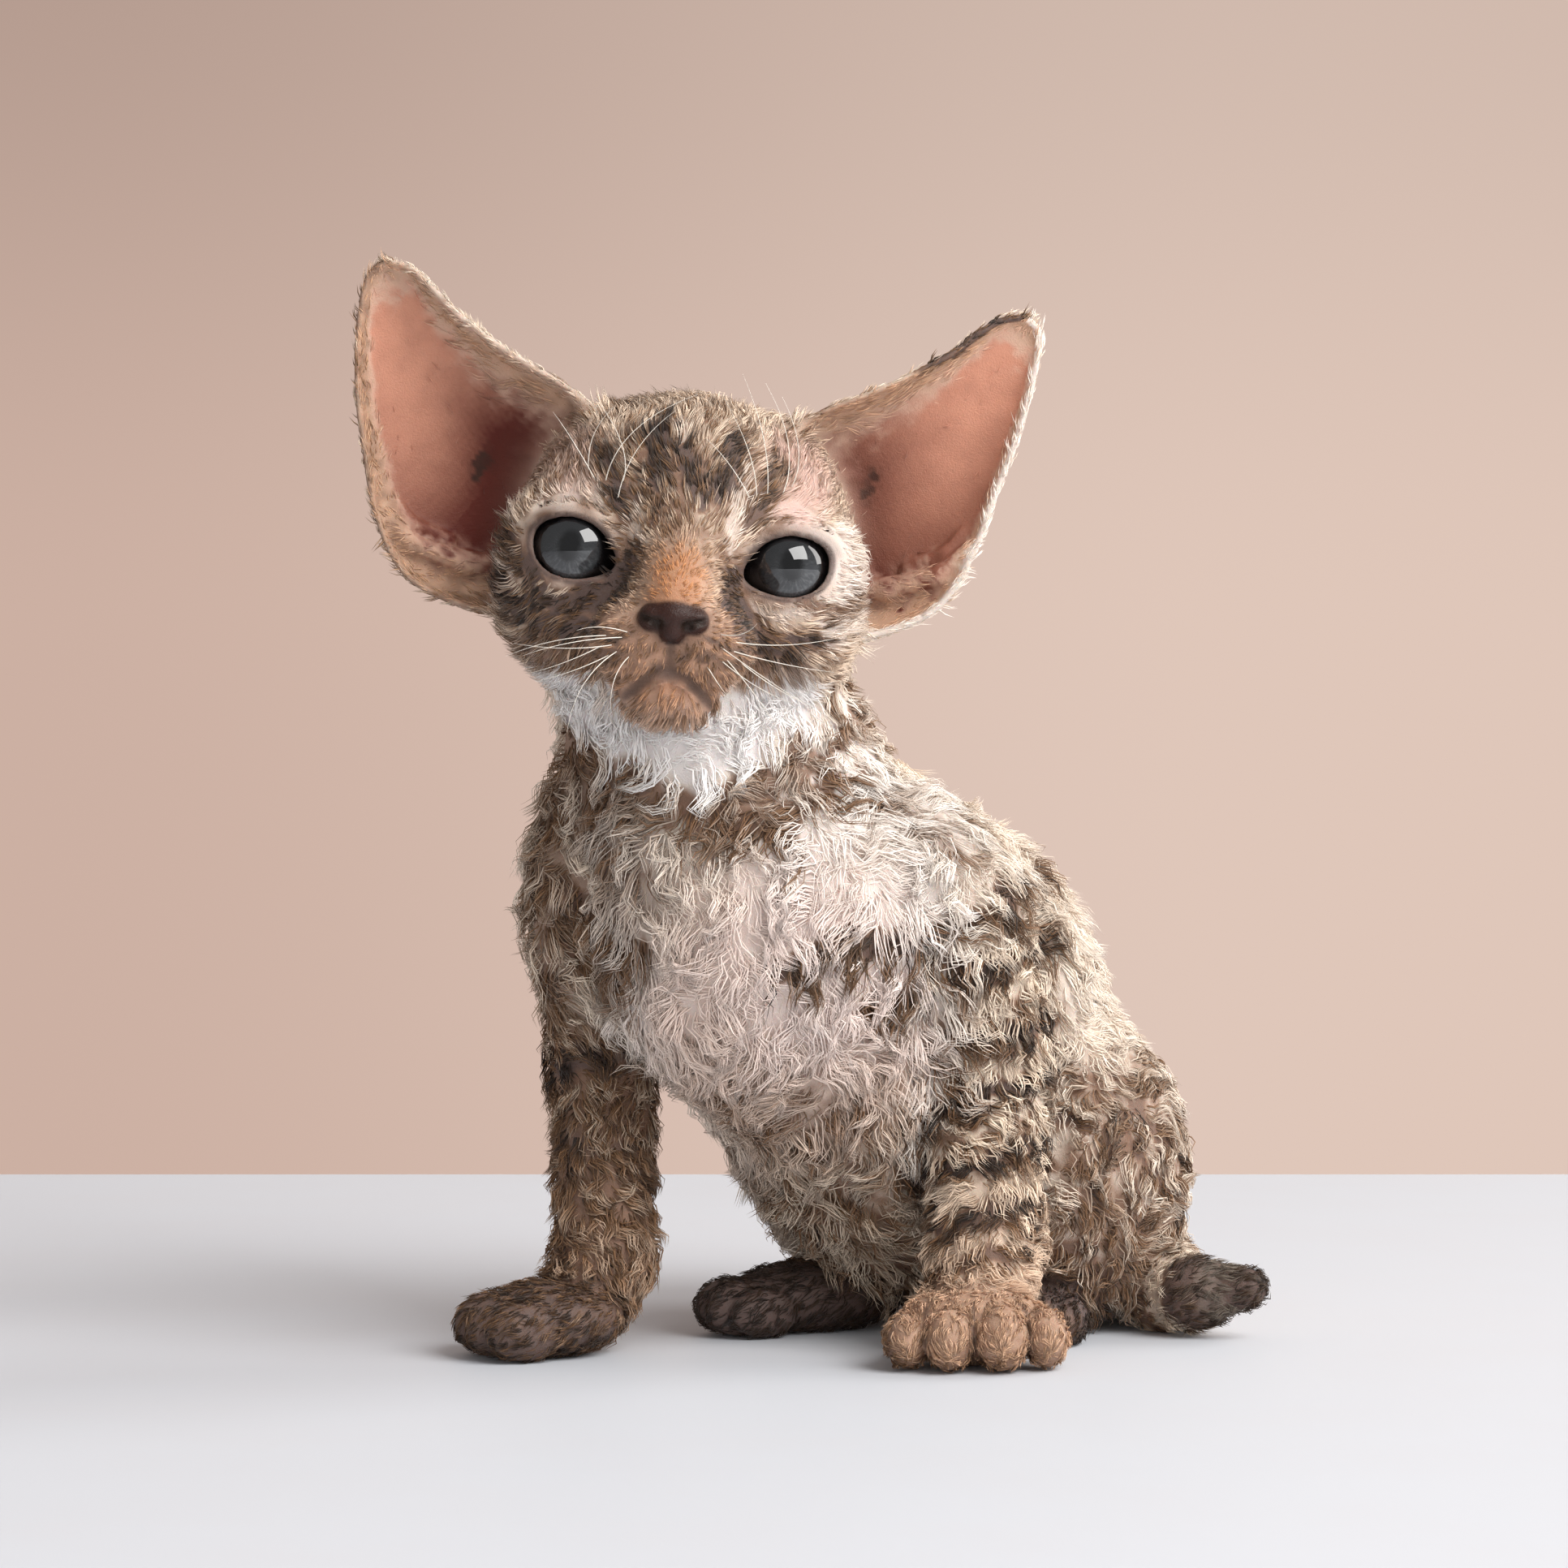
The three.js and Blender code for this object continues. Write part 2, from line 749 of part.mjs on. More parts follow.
const BOXES = {
  head: [[-60, -60, 88], [30, 40, 160]],
  neck: [[-60, -50, 76], [45, 60, 122]],
  torso: [[-60, -50, -3], [90, 90, 110]],
  foreleg_left: [[10, -50, -3], [60, 30, 56]],
  foreleg_right: [[-70, -40, -3], [-10, 30, 54]],
  hindleg_left: [[10, -20, -3], [85, 70, 66]],
  hindleg_right: [[-40, -10, -3], [40, 90, 66]],
  tail: [[30, -10, -3], [90, 80, 30]],
};

const tailSolid = netSolid(tail, BOXES.tail, MESH.tail);
const tailRoom = netSolid(grown(tail, 2 * GAP), BOXES.tail, MESH.tail);
const earRoom = netSolid(grown(kittenForm, 2 * GAP), BOXES.head, MESH.head);
const others = (...names) => Manifold.union(names.map((name) => rooms[name].cut));

// The coat on the neck and trunk lies back and down, and on the legs down
const COAT_BOX = [[-70, -50, 0], [90, 90, 124]];
const LIE = { trunk: [0.45, 0.3, -0.85], leg: [0, -0.15, -1] };
const neckTop = new THREE.Plane(
  new THREE.Vector3(...NECK_CUT[1]).normalize(),
).translate(new THREE.Vector3(...NECK_CUT[0]));
const onLegs = (p) => p.z < 50 && p.y < 4 && (p.x > 20 || p.x < -17);
const onTrunk = (p) => p.z > 9 && !onLegs(p) && neckTop.distanceToPoint(p) < 1;
const trunkPlaces = scatter(
  kittenForm,
  COAT_BOX,
  CURLS.trunk.spacing,
  5,
  (p) => onTrunk(p) && tail(p.x, p.y, p.z) > 2,
);
const legPlaces = scatter(
  kittenForm,
  COAT_BOX,
  CURLS.leg.spacing,
  6,
  (p) => onLegs(p) && p.z > 17,
);
const coatClumps = [
  ...clumps(kittenForm, trunkPlaces, LIE.trunk, CURLS.trunk, 11),
  ...clumps(kittenForm, legPlaces, LIE.leg, CURLS.leg, 12),
];
const coat = Manifold.union(coatClumps);
const skin = grown(kittenForm, -COAT);

function leg(name, taken) {
  const cell = name.startsWith("hind") ? MESH.thigh : MESH.leg;
  const solid = netSolid(skin, BOXES[name], cell);
  return Manifold.union([solid, coat, ...toes(FEET[name])])
    .intersect(rooms[name].own)
    .subtract(taken);
}

const nodes = {
  head: faceOf(netSolid(kittenForm, BOXES.head, MESH.head).intersect(rooms.head.own)),
  ear_left: ear("left").subtract(earRoom),
  ear_right: ear("right").subtract(earRoom),
  eye_left: eyeBall(SIDES.left, EYE_RADIUS),
  eye_right: eyeBall(SIDES.right, EYE_RADIUS),
  neck: netSolid(skin, BOXES.neck, MESH.neck).add(coat).intersect(rooms.neck.own),
  torso: netSolid(skin, BOXES.torso, MESH.trunk)
    .add(coat)
    .subtract(others(...Object.keys(rooms)))
    .subtract(tailRoom),
  foreleg_left: leg("foreleg_left", rooms.neck.cut),
  foreleg_right: leg("foreleg_right", rooms.neck.cut),
  hindleg_left: leg("hindleg_left", others("foreleg_left").add(tailRoom)),
  hindleg_right: leg("hindleg_right", others("foreleg_right", "hindleg_left")),
  tail: tailSolid,
};

const FINISH = {
  head: { color: 0xa98f7a, roughness: 0.9 },
  ear: { color: 0xd9a58c, roughness: 0.75 },
  eye: { color: 0x59616b, roughness: 0.08 },
  neck: { color: 0xb8a596, roughness: 0.95 },
  torso: { color: 0xc2b1a3, roughness: 0.95 },
  foreleg: { color: 0xab8f77, roughness: 0.95 },
  hindleg: { color: 0x9c8672, roughness: 0.95 },
  tail: { color: 0x84705f, roughness: 0.95 },
};

// The kitten, with its origin on the floor under its middle

const kitten = new THREE.Group();
for (const [name, solid] of Object.entries(nodes)) {
  const mesh = new THREE.Mesh(
    geometryOf(largest(solid.subtract(underFloor))),
    new THREE.MeshStandardMaterial({ metalness: 0, ...FINISH[name.split("_")[0]] }),
  );
  mesh.name = name;
  kitten.add(mesh);
}
const middle = new THREE.Box3()
  .setFromObject(kitten)
  .getCenter(new THREE.Vector3());
kitten.position.set(-middle.x, -middle.y, 0);

export default kitten;
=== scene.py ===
"""The looks of a sitting Devon Rex kitten: skin, curly coat, eyes, whiskers, and a studio stage.

The kitten's forms are worked out in millimetres: +Z up, -Y the way that the face looks and +X
the kitten's left. Meshes are made in metres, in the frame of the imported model.
"""

import functools
import math
from typing import Callable, NamedTuple

import bpy
import numpy as np
from bpy.props import FloatProperty, FloatVectorProperty, IntProperty, PointerProperty
from mathutils import Matrix, Vector
from mathutils.bvhtree import BVHTree
from mathutils.kdtree import KDTree


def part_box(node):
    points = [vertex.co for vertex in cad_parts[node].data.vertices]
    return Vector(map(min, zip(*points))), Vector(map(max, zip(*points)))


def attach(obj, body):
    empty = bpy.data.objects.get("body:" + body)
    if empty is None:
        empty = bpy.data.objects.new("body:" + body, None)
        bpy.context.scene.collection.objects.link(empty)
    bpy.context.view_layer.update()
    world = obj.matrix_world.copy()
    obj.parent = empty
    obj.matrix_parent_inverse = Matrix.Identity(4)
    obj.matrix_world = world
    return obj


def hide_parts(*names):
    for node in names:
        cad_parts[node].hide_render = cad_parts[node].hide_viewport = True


bl_info = {
    "name": "Sitting kitten",
    "version": (1, 0, 0),
    "blender": (4, 5, 0),
    "location": "3D View > Sidebar > Kitten",
    "description": "Skin, curly coat, eyes, whiskers and stage of a life-size sitting kitten",
    "category": "Add Mesh",
}

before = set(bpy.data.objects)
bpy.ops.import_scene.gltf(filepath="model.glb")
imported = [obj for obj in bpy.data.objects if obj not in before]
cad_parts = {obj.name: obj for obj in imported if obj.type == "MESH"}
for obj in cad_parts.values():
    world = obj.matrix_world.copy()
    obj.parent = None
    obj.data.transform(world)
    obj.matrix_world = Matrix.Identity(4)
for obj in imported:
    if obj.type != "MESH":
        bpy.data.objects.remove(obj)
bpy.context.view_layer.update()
MM = 0.001
UP = np.array([0.0, 0.0, 1.0])
# Further than any distance on the kitten, in millimetres
FAR = 1e3
SIDES = {"left": 1, "right": -1}


# Sizes and colours that a user would change

def length_of(name, description, default):
    return FloatProperty(name=name, description=description, default=default, unit="LENGTH", precision=5)


def colour_of(name, description, default):
    return FloatVectorProperty(
        name=name, description=description, default=default, subtype="COLOR_GAMMA", min=0, max=1
    )


class KittenSizes(bpy.types.PropertyGroup):
    """Sizes of the skin, eyes, ears and whiskers"""

    eye_radius: length_of("Eyeball", "Radius of each eyeball", 0.0073)
    eye_width: length_of("Eye opening width", "Between the corners of the lids", 0.0124)
    eye_height: length_of("Eye opening height", "Between the lids", 0.0098)
    ear_depth: length_of("Ear depth", "Depth of the ear's cup at its root", 0.0125)
    fine_cell: length_of("Fine cell", "Cell of the skin's mesh on the head", 0.0006)
    wide_cell: length_of("Wide cell", "Cell of the skin's mesh on the body", 0.0012)
    whisker_length: length_of("Whiskers", "Length of the longest whiskers", 0.021)
    whisker_radius: length_of("Whisker thickness", "Radius of a whisker at its root", 0.00009)


class CoatSizes(bpy.types.PropertyGroup):
    """Sizes of the coat's tufts"""

    curl_length: length_of("Curls", "Length of the curls on neck and body", 0.0088)
    curl_width: length_of("Curl width", "Width of one strand of a curl", 0.00027)
    wave_length: length_of("Leg fur", "Length of the wavy fur on the legs", 0.0048)
    wave_width: length_of("Leg fur width", "Width of one strand on the legs", 0.00027)
    short_length: length_of("Short fur", "Length of the fur on face, feet and tail", 0.0027)
    short_width: length_of("Short fur width", "Width of one short tuft", 0.0002)
    seed: IntProperty(name="Seed", description="Seed of the coat's random draws", default=7, min=0)


class KittenColours(bpy.types.PropertyGroup):
    """Colours of the skin, coat and eyes"""

    cream: colour_of("Cream", "Pale ground of the coat", (0.965, 0.892, 0.805))
    white: colour_of("White", "Bib and the palest curls", (1.0, 0.985, 0.975))
    # Taupe, dark brown and red also give painted shade: low in front, on hind feet, between toes, in nostrils
    # and deep in ears
    taupe: colour_of("Taupe", "Bars and spots", (0.52, 0.38, 0.26))
    dark: colour_of("Dark brown", "Darkest stripes and the tail's tip", (0.15, 0.098, 0.062))
    tan: colour_of("Tan", "Bridge of the nose and the paws", (0.765, 0.53, 0.345))
    pink: colour_of("Pink", "Bare or thinly covered skin", (0.93, 0.79, 0.755))
    mauve: colour_of("Mauve", "Nose and lips", (0.205, 0.115, 0.09))
    peach: colour_of("Peach", "Inside of the ears", (0.81, 0.575, 0.475))
    red: colour_of("Red", "Depth of the ears", (0.33, 0.095, 0.05))
    iris: colour_of("Iris", "Slate of the eyes", (0.225, 0.231, 0.24))
    # The pupil's colour also paints the lid's shadow on the iris
    pupil: colour_of("Pupil", "Pupil and rim of the iris", (0.015, 0.018, 0.024))
    whisker: colour_of("Whisker", "Whiskers and brow hairs", (0.96, 0.93, 0.88))


class StageSettings(bpy.types.PropertyGroup):
    """Floor, backdrop, lights and camera"""

    floor: colour_of("Floor", "Pale table top", (0.84, 0.855, 0.88))
    # The backdrop glows in these colours in place of being lit: painted light
    backdrop: colour_of("Backdrop", "Warm wall behind", (0.875, 0.78, 0.728))
    shaded: colour_of("Shaded backdrop", "Wall at the side away from the window", (0.80, 0.69, 0.638))
    far_edge: length_of("Far edge", "From the kitten's middle back to the edge of the floor", 0.265)
    key_power: FloatProperty(name="Window", description="Power of the window's light in watts", default=52)
    rim_power: FloatProperty(name="Side light", description="Power of the side light in watts", default=16)
    fill_power: FloatProperty(name="Low light", description="Power of the front light in watts", default=4)
    sky: FloatProperty(name="Surround", description="Strength of the light all round", default=0.31)
    camera_back: length_of("Camera distance", "From the kitten's middle to the camera", 0.92)
    camera_height: length_of("Camera height", "Above the floor", 0.12)
    camera_pitch: FloatProperty(
        name="Camera pitch", description="Turned down", default=math.radians(1.9), subtype="ANGLE"
    )
    focal_length: FloatProperty(name="Lens", description="Focal length in millimetres", default=133.6)


# Frames and forms: a form gives the distance of each point to a surface, negative inside

def lengths(vectors):
    return np.sqrt(np.einsum("ij,ij->i", vectors, vectors))


def unit(vectors):
    return vectors / np.maximum(lengths(vectors), 1e-9)[:, None]


def dots(a, b):
    return np.einsum("ij,ij->i", a, b)


def smooth(low, high, values):
    t = np.clip((values - low) / (high - low), 0, 1)
    return t * t * (3 - 2 * t)


def soft_min(a, b, softness):
    near = np.maximum(softness - np.abs(a - b), 0)
    return np.minimum(a, b) - near * near / (4 * softness)


def soft_max(a, b, softness):
    return -soft_min(-a, -b, softness)


class Frame:
    """A place with its own right, back and up"""

    def __init__(self, at, axis="Z", degrees=0.0):
        self.at = np.array(at, float)
        self.axes = np.array(Matrix.Rotation(math.radians(degrees), 3, axis))

    def local(self, points):
        return (points - self.at) @ self.axes

    def world(self, points):
        return np.asarray(points, float) @ self.axes.T + self.at

    def way(self, vector):
        return self.axes @ np.array(vector, float)

    def then(self, inner):
        out = Frame(self.world([inner.at])[0])
        out.axes = self.axes @ inner.axes
        return out


def ball(at, radii, pitch=0.0):
    place = Frame(at, "X", pitch)
    radii = np.array(radii, float)

    def form(points):
        q = place.local(points)
        near = lengths(q / radii)
        slope = lengths(q / radii**2)
        return np.where(slope < 1e-6, -radii.min(), near * (near - 1) / np.maximum(slope, 1e-6))

    return form


def limb(start, end):
    (a, thick), (b, thin) = start, end
    a = np.array(a, float)
    along = np.array(b, float) - a

    def form(points):
        q = points - a
        t = np.clip(q @ along / (along @ along), 0, 1)
        return lengths(q - t[:, None] * along) - thick - (thin - thick) * t

    return form


def blend(softness, *forms):
    def form(points):
        total = forms[0](points)
        for other in forms[1:]:
            total = soft_min(total, other(points), softness)
        return total

    return form


def chain(softness, *stations):
    return blend(softness, *[limb(a, b) for a, b in zip(stations, stations[1:])])


def moved(place, form):
    return lambda points: form(place.local(points))


class Ripples:
    """Smooth noise about a mean of 0 and a spread of 1, made of seeded waves of about one size"""

    WAVES = 18

    def __init__(self, seed, size, stretch=(1, 1, 1)):
        draw = np.random.default_rng(seed)
        ways = unit(draw.normal(size=(self.WAVES, 3)))
        self.turns = ways * draw.uniform(0.6, 1.6, (self.WAVES, 1)) * 2 * math.pi / size / np.array(stretch)
        self.phase = draw.uniform(0, 2 * math.pi, self.WAVES)

    def __call__(self, points):
        return np.sin(points @ self.turns.T + self.phase).sum(1) / math.sqrt(self.WAVES / 2)


# The kitten's shape: the same named stations and sizes as its solids

HEAD = Frame((-15.8, -9, 125), "Y", 5)
BODY = Frame((22, 22, 0), "Z", -38)
FORELEG = 8.8
TAIL = 6.4

TRUNK = moved(
    BODY,
    blend(
        14,
        ball((-2, -40, 68), (26, 24, 28)),
        ball((0, -18, 53), (28, 31, 27), -40),
        ball((-2, 4, 36), (31, 31, 31)),
        ball((1, -2, 57), (27, 29, 27)),
        ball((0, 26, 25), (26, 25, 25.6)),
    ),
)
SHOULDERS = blend(6, ball((-30, 1, 72), (11.5, 14, 22)), ball((25, -4, 67), (13, 15, 20)))
NECK = limb(((-6, 3, 82), 26.5), ((-15, -4, 107), 22.5))
THIGHS = moved(
    BODY,
    blend(4, ball((23.6, 14, 27), (13.6, 22, 25), 25), ball((-22, 14, 27), (13.6, 22, 25), 25)),
)
LEFT_FORELEG = chain(
    3,
    ((28, -3, 64), FORELEG + 3),
    ((32, 1, 44), FORELEG + 1.9),
    ((31.5, -9, 16), FORELEG + 0.3),
    ((30, -15, 9), FORELEG - 1),
)
RIGHT_FORELEG = chain(
    3,
    ((-30, 2, 62), FORELEG + 1.5),
    ((-28.8, 5, 44), FORELEG),
    ((-28.4, -2, 15), FORELEG - 0.4),
    ((-31, -5, 8.5), FORELEG - 1.6),
)
TAIL_STATIONS = [
    ((45, 51, 17), TAIL + 1.6),
    ((55, 58, 11), TAIL + 1.2),
    ((61.5, 48, 7.2), TAIL + 0.6),
    ((62.5, 34, 6.5), TAIL + 0.3),
    ((62, 21.5, 6.2), TAIL),
    ((66, 13.5, 7), TAIL - 0.8),
    ((74, 8.5, 8.4), TAIL - 2.4),
]
TAIL_FORM = chain(4, *TAIL_STATIONS)

# Feet: a pad with its middle, heading and size, and toes as across, along, width, height
FEET = {
    "foreleg_left": {
        "place": Frame((29.5, -20, 6), "Z", 0),
        "pad": (12.5, 11, 6.6),
        "toes": [(-10.6, 6, 4.1, 4.6), (-4.2, 9.2, 4.2, 5.2), (4, 9, 4.7, 5.4), (11, 5.6, 4, 5)],
    },
    "foreleg_right": {
        "place": Frame((-36.5, -9, 6), "Z", -68),
        "pad": (10.5, 12, 6.4),
        "toes": [(-7.6, 7, 3.9, 5), (-2.8, 9, 4, 5.4), (2.8, 9, 4, 5.4), (7.6, 7, 3.9, 5)],
    },
    "hindleg_left": {
        "place": Frame((43, 17, 5.6), "Z", -12),
        "pad": (8, 17, 6),
        "toes": [(-5.5, 13, 3.4, 4.2), (-1.9, 15.5, 3.5, 4.6), (1.9, 15.5, 3.5, 4.6), (5.5, 13, 3.4, 4.2)],
    },
    "hindleg_right": {
        "place": Frame((5.5, 22, 5.8), "Z", -60),
        "pad": (8, 17, 6.4),
        "toes": [(-5.5, 13, 3.4, 4.2), (-1.9, 15.5, 3.6, 5), (1.9, 15.5, 3.6, 5), (5.5, 13, 3.4, 4.4)],
    },
}
TOE_LENGTH = 6.5
PADS = [moved(foot["place"], ball((0, 0, 0), foot["pad"])) for foot in FEET.values()]


def toe_forms():
    for foot in FEET.values():
        for across, along, width, height in foot["toes"]:
            at = (across, -along, height - foot["place"].at[2] - 0.2)
            yield moved(foot["place"], ball(at, (width - 0.25, TOE_LENGTH, height)))


TOES = blend(1.3, *toe_forms())

SKULL = blend(
    5,
    ball((0, 3, 3), (26, 29, 24)),
    ball((0, -26, -12), (12, 11, 9.5)),
    ball((0, -29, -21), (7.5, 6, 5)),
    limb(((0, -20, 3), 8), ((0, -35, -6.5), 4.4)),
    *[ball((side * 15, -5, -8), (13, 17, 13)) for side in SIDES.values()],
    *[ball((side * 15.4, -12.6, 1), (12, 10.6, 10.6)) for side in SIDES.values()],
)
WHISKER_PADS = blend(1.5, *[ball((side * 5.8, -31, -13), (6.8, 6.8, 5.8)) for side in SIDES.values()])
FACE = blend(3, SKULL, WHISKER_PADS)
HEAD_FORM = moved(HEAD, FACE)

MOUTH = [(-7.2, -22.2), (-5.4, -20.4), (-2.6, -18.2), (0, -17.0), (2.6, -18.1), (5.4, -20.4), (7.2, -22.2)]
LIP = [(x, z - 1.6) for x, z in MOUTH[1:-1]]
PHILTRUM = [(0, -11), (0, -14.5), (0, -17.0)]
EYE_AT = (15.9, -17, 0)
EYE_TURN = 9
EYE_TILT = 8
EYE_CORNER = 0.2


def on_face(x, z):
    """The point of the face that shows at a place seen from the front"""
    point = np.array([[x, -60.0, z]])
    for _ in range(40):
        point[0, 1] += FACE(point)[0] * 0.8
    return point[0]


def face_line(places, radii):
    return chain(0.3, *[(on_face(x, z), radius) for (x, z), radius in zip(places, radii)])


def eye_frame(side):
    """Right, up and forward of an eye, in the frame of the head"""
    x, y, z = EYE_AT
    upright = Frame((side * x, y, z), "Z", EYE_TURN * side).then(Frame((0, 0, 0), "X", 90))
    return upright.then(Frame((0, 0, 0), "Z", EYE_TILT * side))


def eye_opening(q, side, sizes):
    """Distance in the plane of the lids to the edge of the opening, negative in it"""
    half_width = sizes.eye_width / MM / 2
    half_height = sizes.eye_height / MM / 2
    outward = q[:, 0] * side
    reach = np.hypot(outward / half_width, q[:, 1] / half_height)
    turn = np.arctan2(q[:, 1] / half_height, outward / half_width)
    inner = np.maximum(np.cos(turn - math.pi - EYE_CORNER), 0) ** 9
    outer = np.maximum(np.cos(turn - 2 * EYE_CORNER), 0) ** 9
    corner = 1 + 0.16 * inner + 0.07 * outer - 0.05 * np.sin(turn) ** 4 * (q[:, 1] < 0)
    return (reach / corner - 1) * min(half_width, half_height)


@functools.cache
def face_features():
    """Forms on the head, in its own frame, by name"""
    return {
        "nose": blend(
            0.9,
            ball((0, -37.2, -8.7), (3.4, 3.0, 2.3)),
            *[ball((side * 3.2, -37.2, -9.3), (2.0, 2.4, 1.9)) for side in SIDES.values()],
            ball((0, -37.4, -11.0), (1.8, 2.3, 2.0)),
        ),
        "nostrils": blend(
            0.3,
            *[ball((side * 2.3, -39.8, -10.2), (1.0, 1.8, 0.85)) for side in SIDES.values()],
            *[
                limb(((side * 2.6, -39.6, -10.0), 0.65), ((side * 4.7, -38.3, -9.2), 0.4))
                for side in SIDES.values()
            ],
        ),
        "mouth": face_line(MOUTH, (0.3, 0.5, 0.6, 0.6, 0.6, 0.5, 0.3)),
        "gap": face_line([(-2.2, -18.3), (0, -17.7), (2.2, -18.3)], (0.5, 0.9, 0.5)),
        "lip": face_line(LIP, (0.1, 0.2, 0.3, 0.2, 0.1)),
        "philtrum": face_line(PHILTRUM, (0.45, 0.5, 0.6)),
    }


def with_face(q, distance, sizes):
    """The head's surface with nose, lids and mouth, at points in its own frame"""
    features = face_features()
    distance = soft_min(distance, features["nose"](q), 0.8)
    distance = soft_min(distance, features["lip"](q), 0.8)
    distance = soft_max(distance, -features["nostrils"](q), 0.4)
    for name in ("mouth", "gap", "philtrum"):
        distance = soft_max(distance, -features[name](q), 0.7)
    radius = sizes.eye_radius / MM
    for side in SIDES.values():
        e = eye_frame(side).local(q)
        off = lengths(e)
        opening = eye_opening(e, side, sizes)
        distance = soft_min(distance, off - radius - 0.45, 2.4)
        crease = np.hypot(opening - 2.4, off - radius - 1.4) - 0.5 * smooth(0.5, 3.5, e[:, 1]) + 0.2
        distance = soft_max(distance, -crease, 0.8)
        distance = soft_max(distance, 0.12 + radius - off, 0.25)
        distance = soft_max(distance, -np.where(e[:, 2] > 0, opening, 9), 0.6)
        rim = np.hypot(opening - 0.3, off - radius - 0.35) - 0.36
        distance = np.where(e[:, 2] > 0, soft_min(distance, rim, 0.5), distance)
    return distance


# Ears: a cup between an inner and an outer edge that meet at the tip

EAR_INNER = [
    (13, -3, 19),
    (19.5, -3.5, 24.5),
    (26.5, -4, 28),
    (33, -4, 31.5),
    (39, -3, 35.5),
    (43.5, -2, 39.5),
    (46.5, -1, 41.5),
    (50, 0, 42.2),
]
EAR_OUTER = [
    (22, 3, -11),
    (33, 3, -9.5),
    (42, 2, -5),
    (47, 1.5, 4),
    (49.6, 1.5, 13.5),
    (51.8, 1, 22.5),
    (53, 1, 33),
    (52.6, 1, 40),
    (50, 0, 42.2),
]
EAR_SPREAD = {"left": (-1.6, 1.6), "right": (1.4, -1.4)}
EAR_FACING = (0.25, -0.93, 0.15)
EAR_RIM = 0.9
EAR_MIDDLE = 1.7
EAR_ROWS = 44
EAR_COLUMNS = 36
EAR_REACH = 7.0
# Folds of the cup, as stations of place up it, turn across it, lift and radius
EAR_FOLDS = [
    [(0.1, 2.0, 1.2, 1.7), (0.22, 2.3, 2.0, 1.8), (0.33, 2.55, 2.2, 1.5), (0.44, 2.8, 1.4, 1.0)],
    [(0.3, 2.2, 1.0, 1.2), (0.38, 2.4, 1.5, 1.1), (0.46, 2.55, 1.0, 0.7)],
    [(0.02, 1.5, 1.0, 2.0), (0.1, 1.8, 1.2, 1.8), (0.2, 2.05, 0.8, 1.0)],
    [(0.05, 0.6, 0.6, 1.0), (0.18, 0.95, 0.9, 0.8), (0.3, 1.2, 0.4, 0.5)],
]


def curve_through(points, places):
    """Points of a smooth curve at the given shares of its length"""
    points = np.array(points, float)
    ends = np.vstack([2 * points[0] - points[1], points, 2 * points[-1] - points[-2]])
    t = np.linspace(0, 1, 40, endpoint=False)[:, None]
    pieces = []
    for a, b, c, d in zip(ends, ends[1:], ends[2:], ends[3:]):
        start = (c - a) / 2
        end = (d - b) / 2
        rise = 2 * b - 2 * c + start + end
        bend = -3 * b + 3 * c - 2 * start - end
        pieces.append(((rise * t + bend) * t + start) * t + b)
    line = np.vstack([*pieces, points[-1:]])
    run = np.concatenate([[0], np.cumsum(lengths(np.diff(line, axis=0)))])
    return np.stack([np.interp(places * run[-1], run, line[:, k]) for k in range(3)], axis=1)


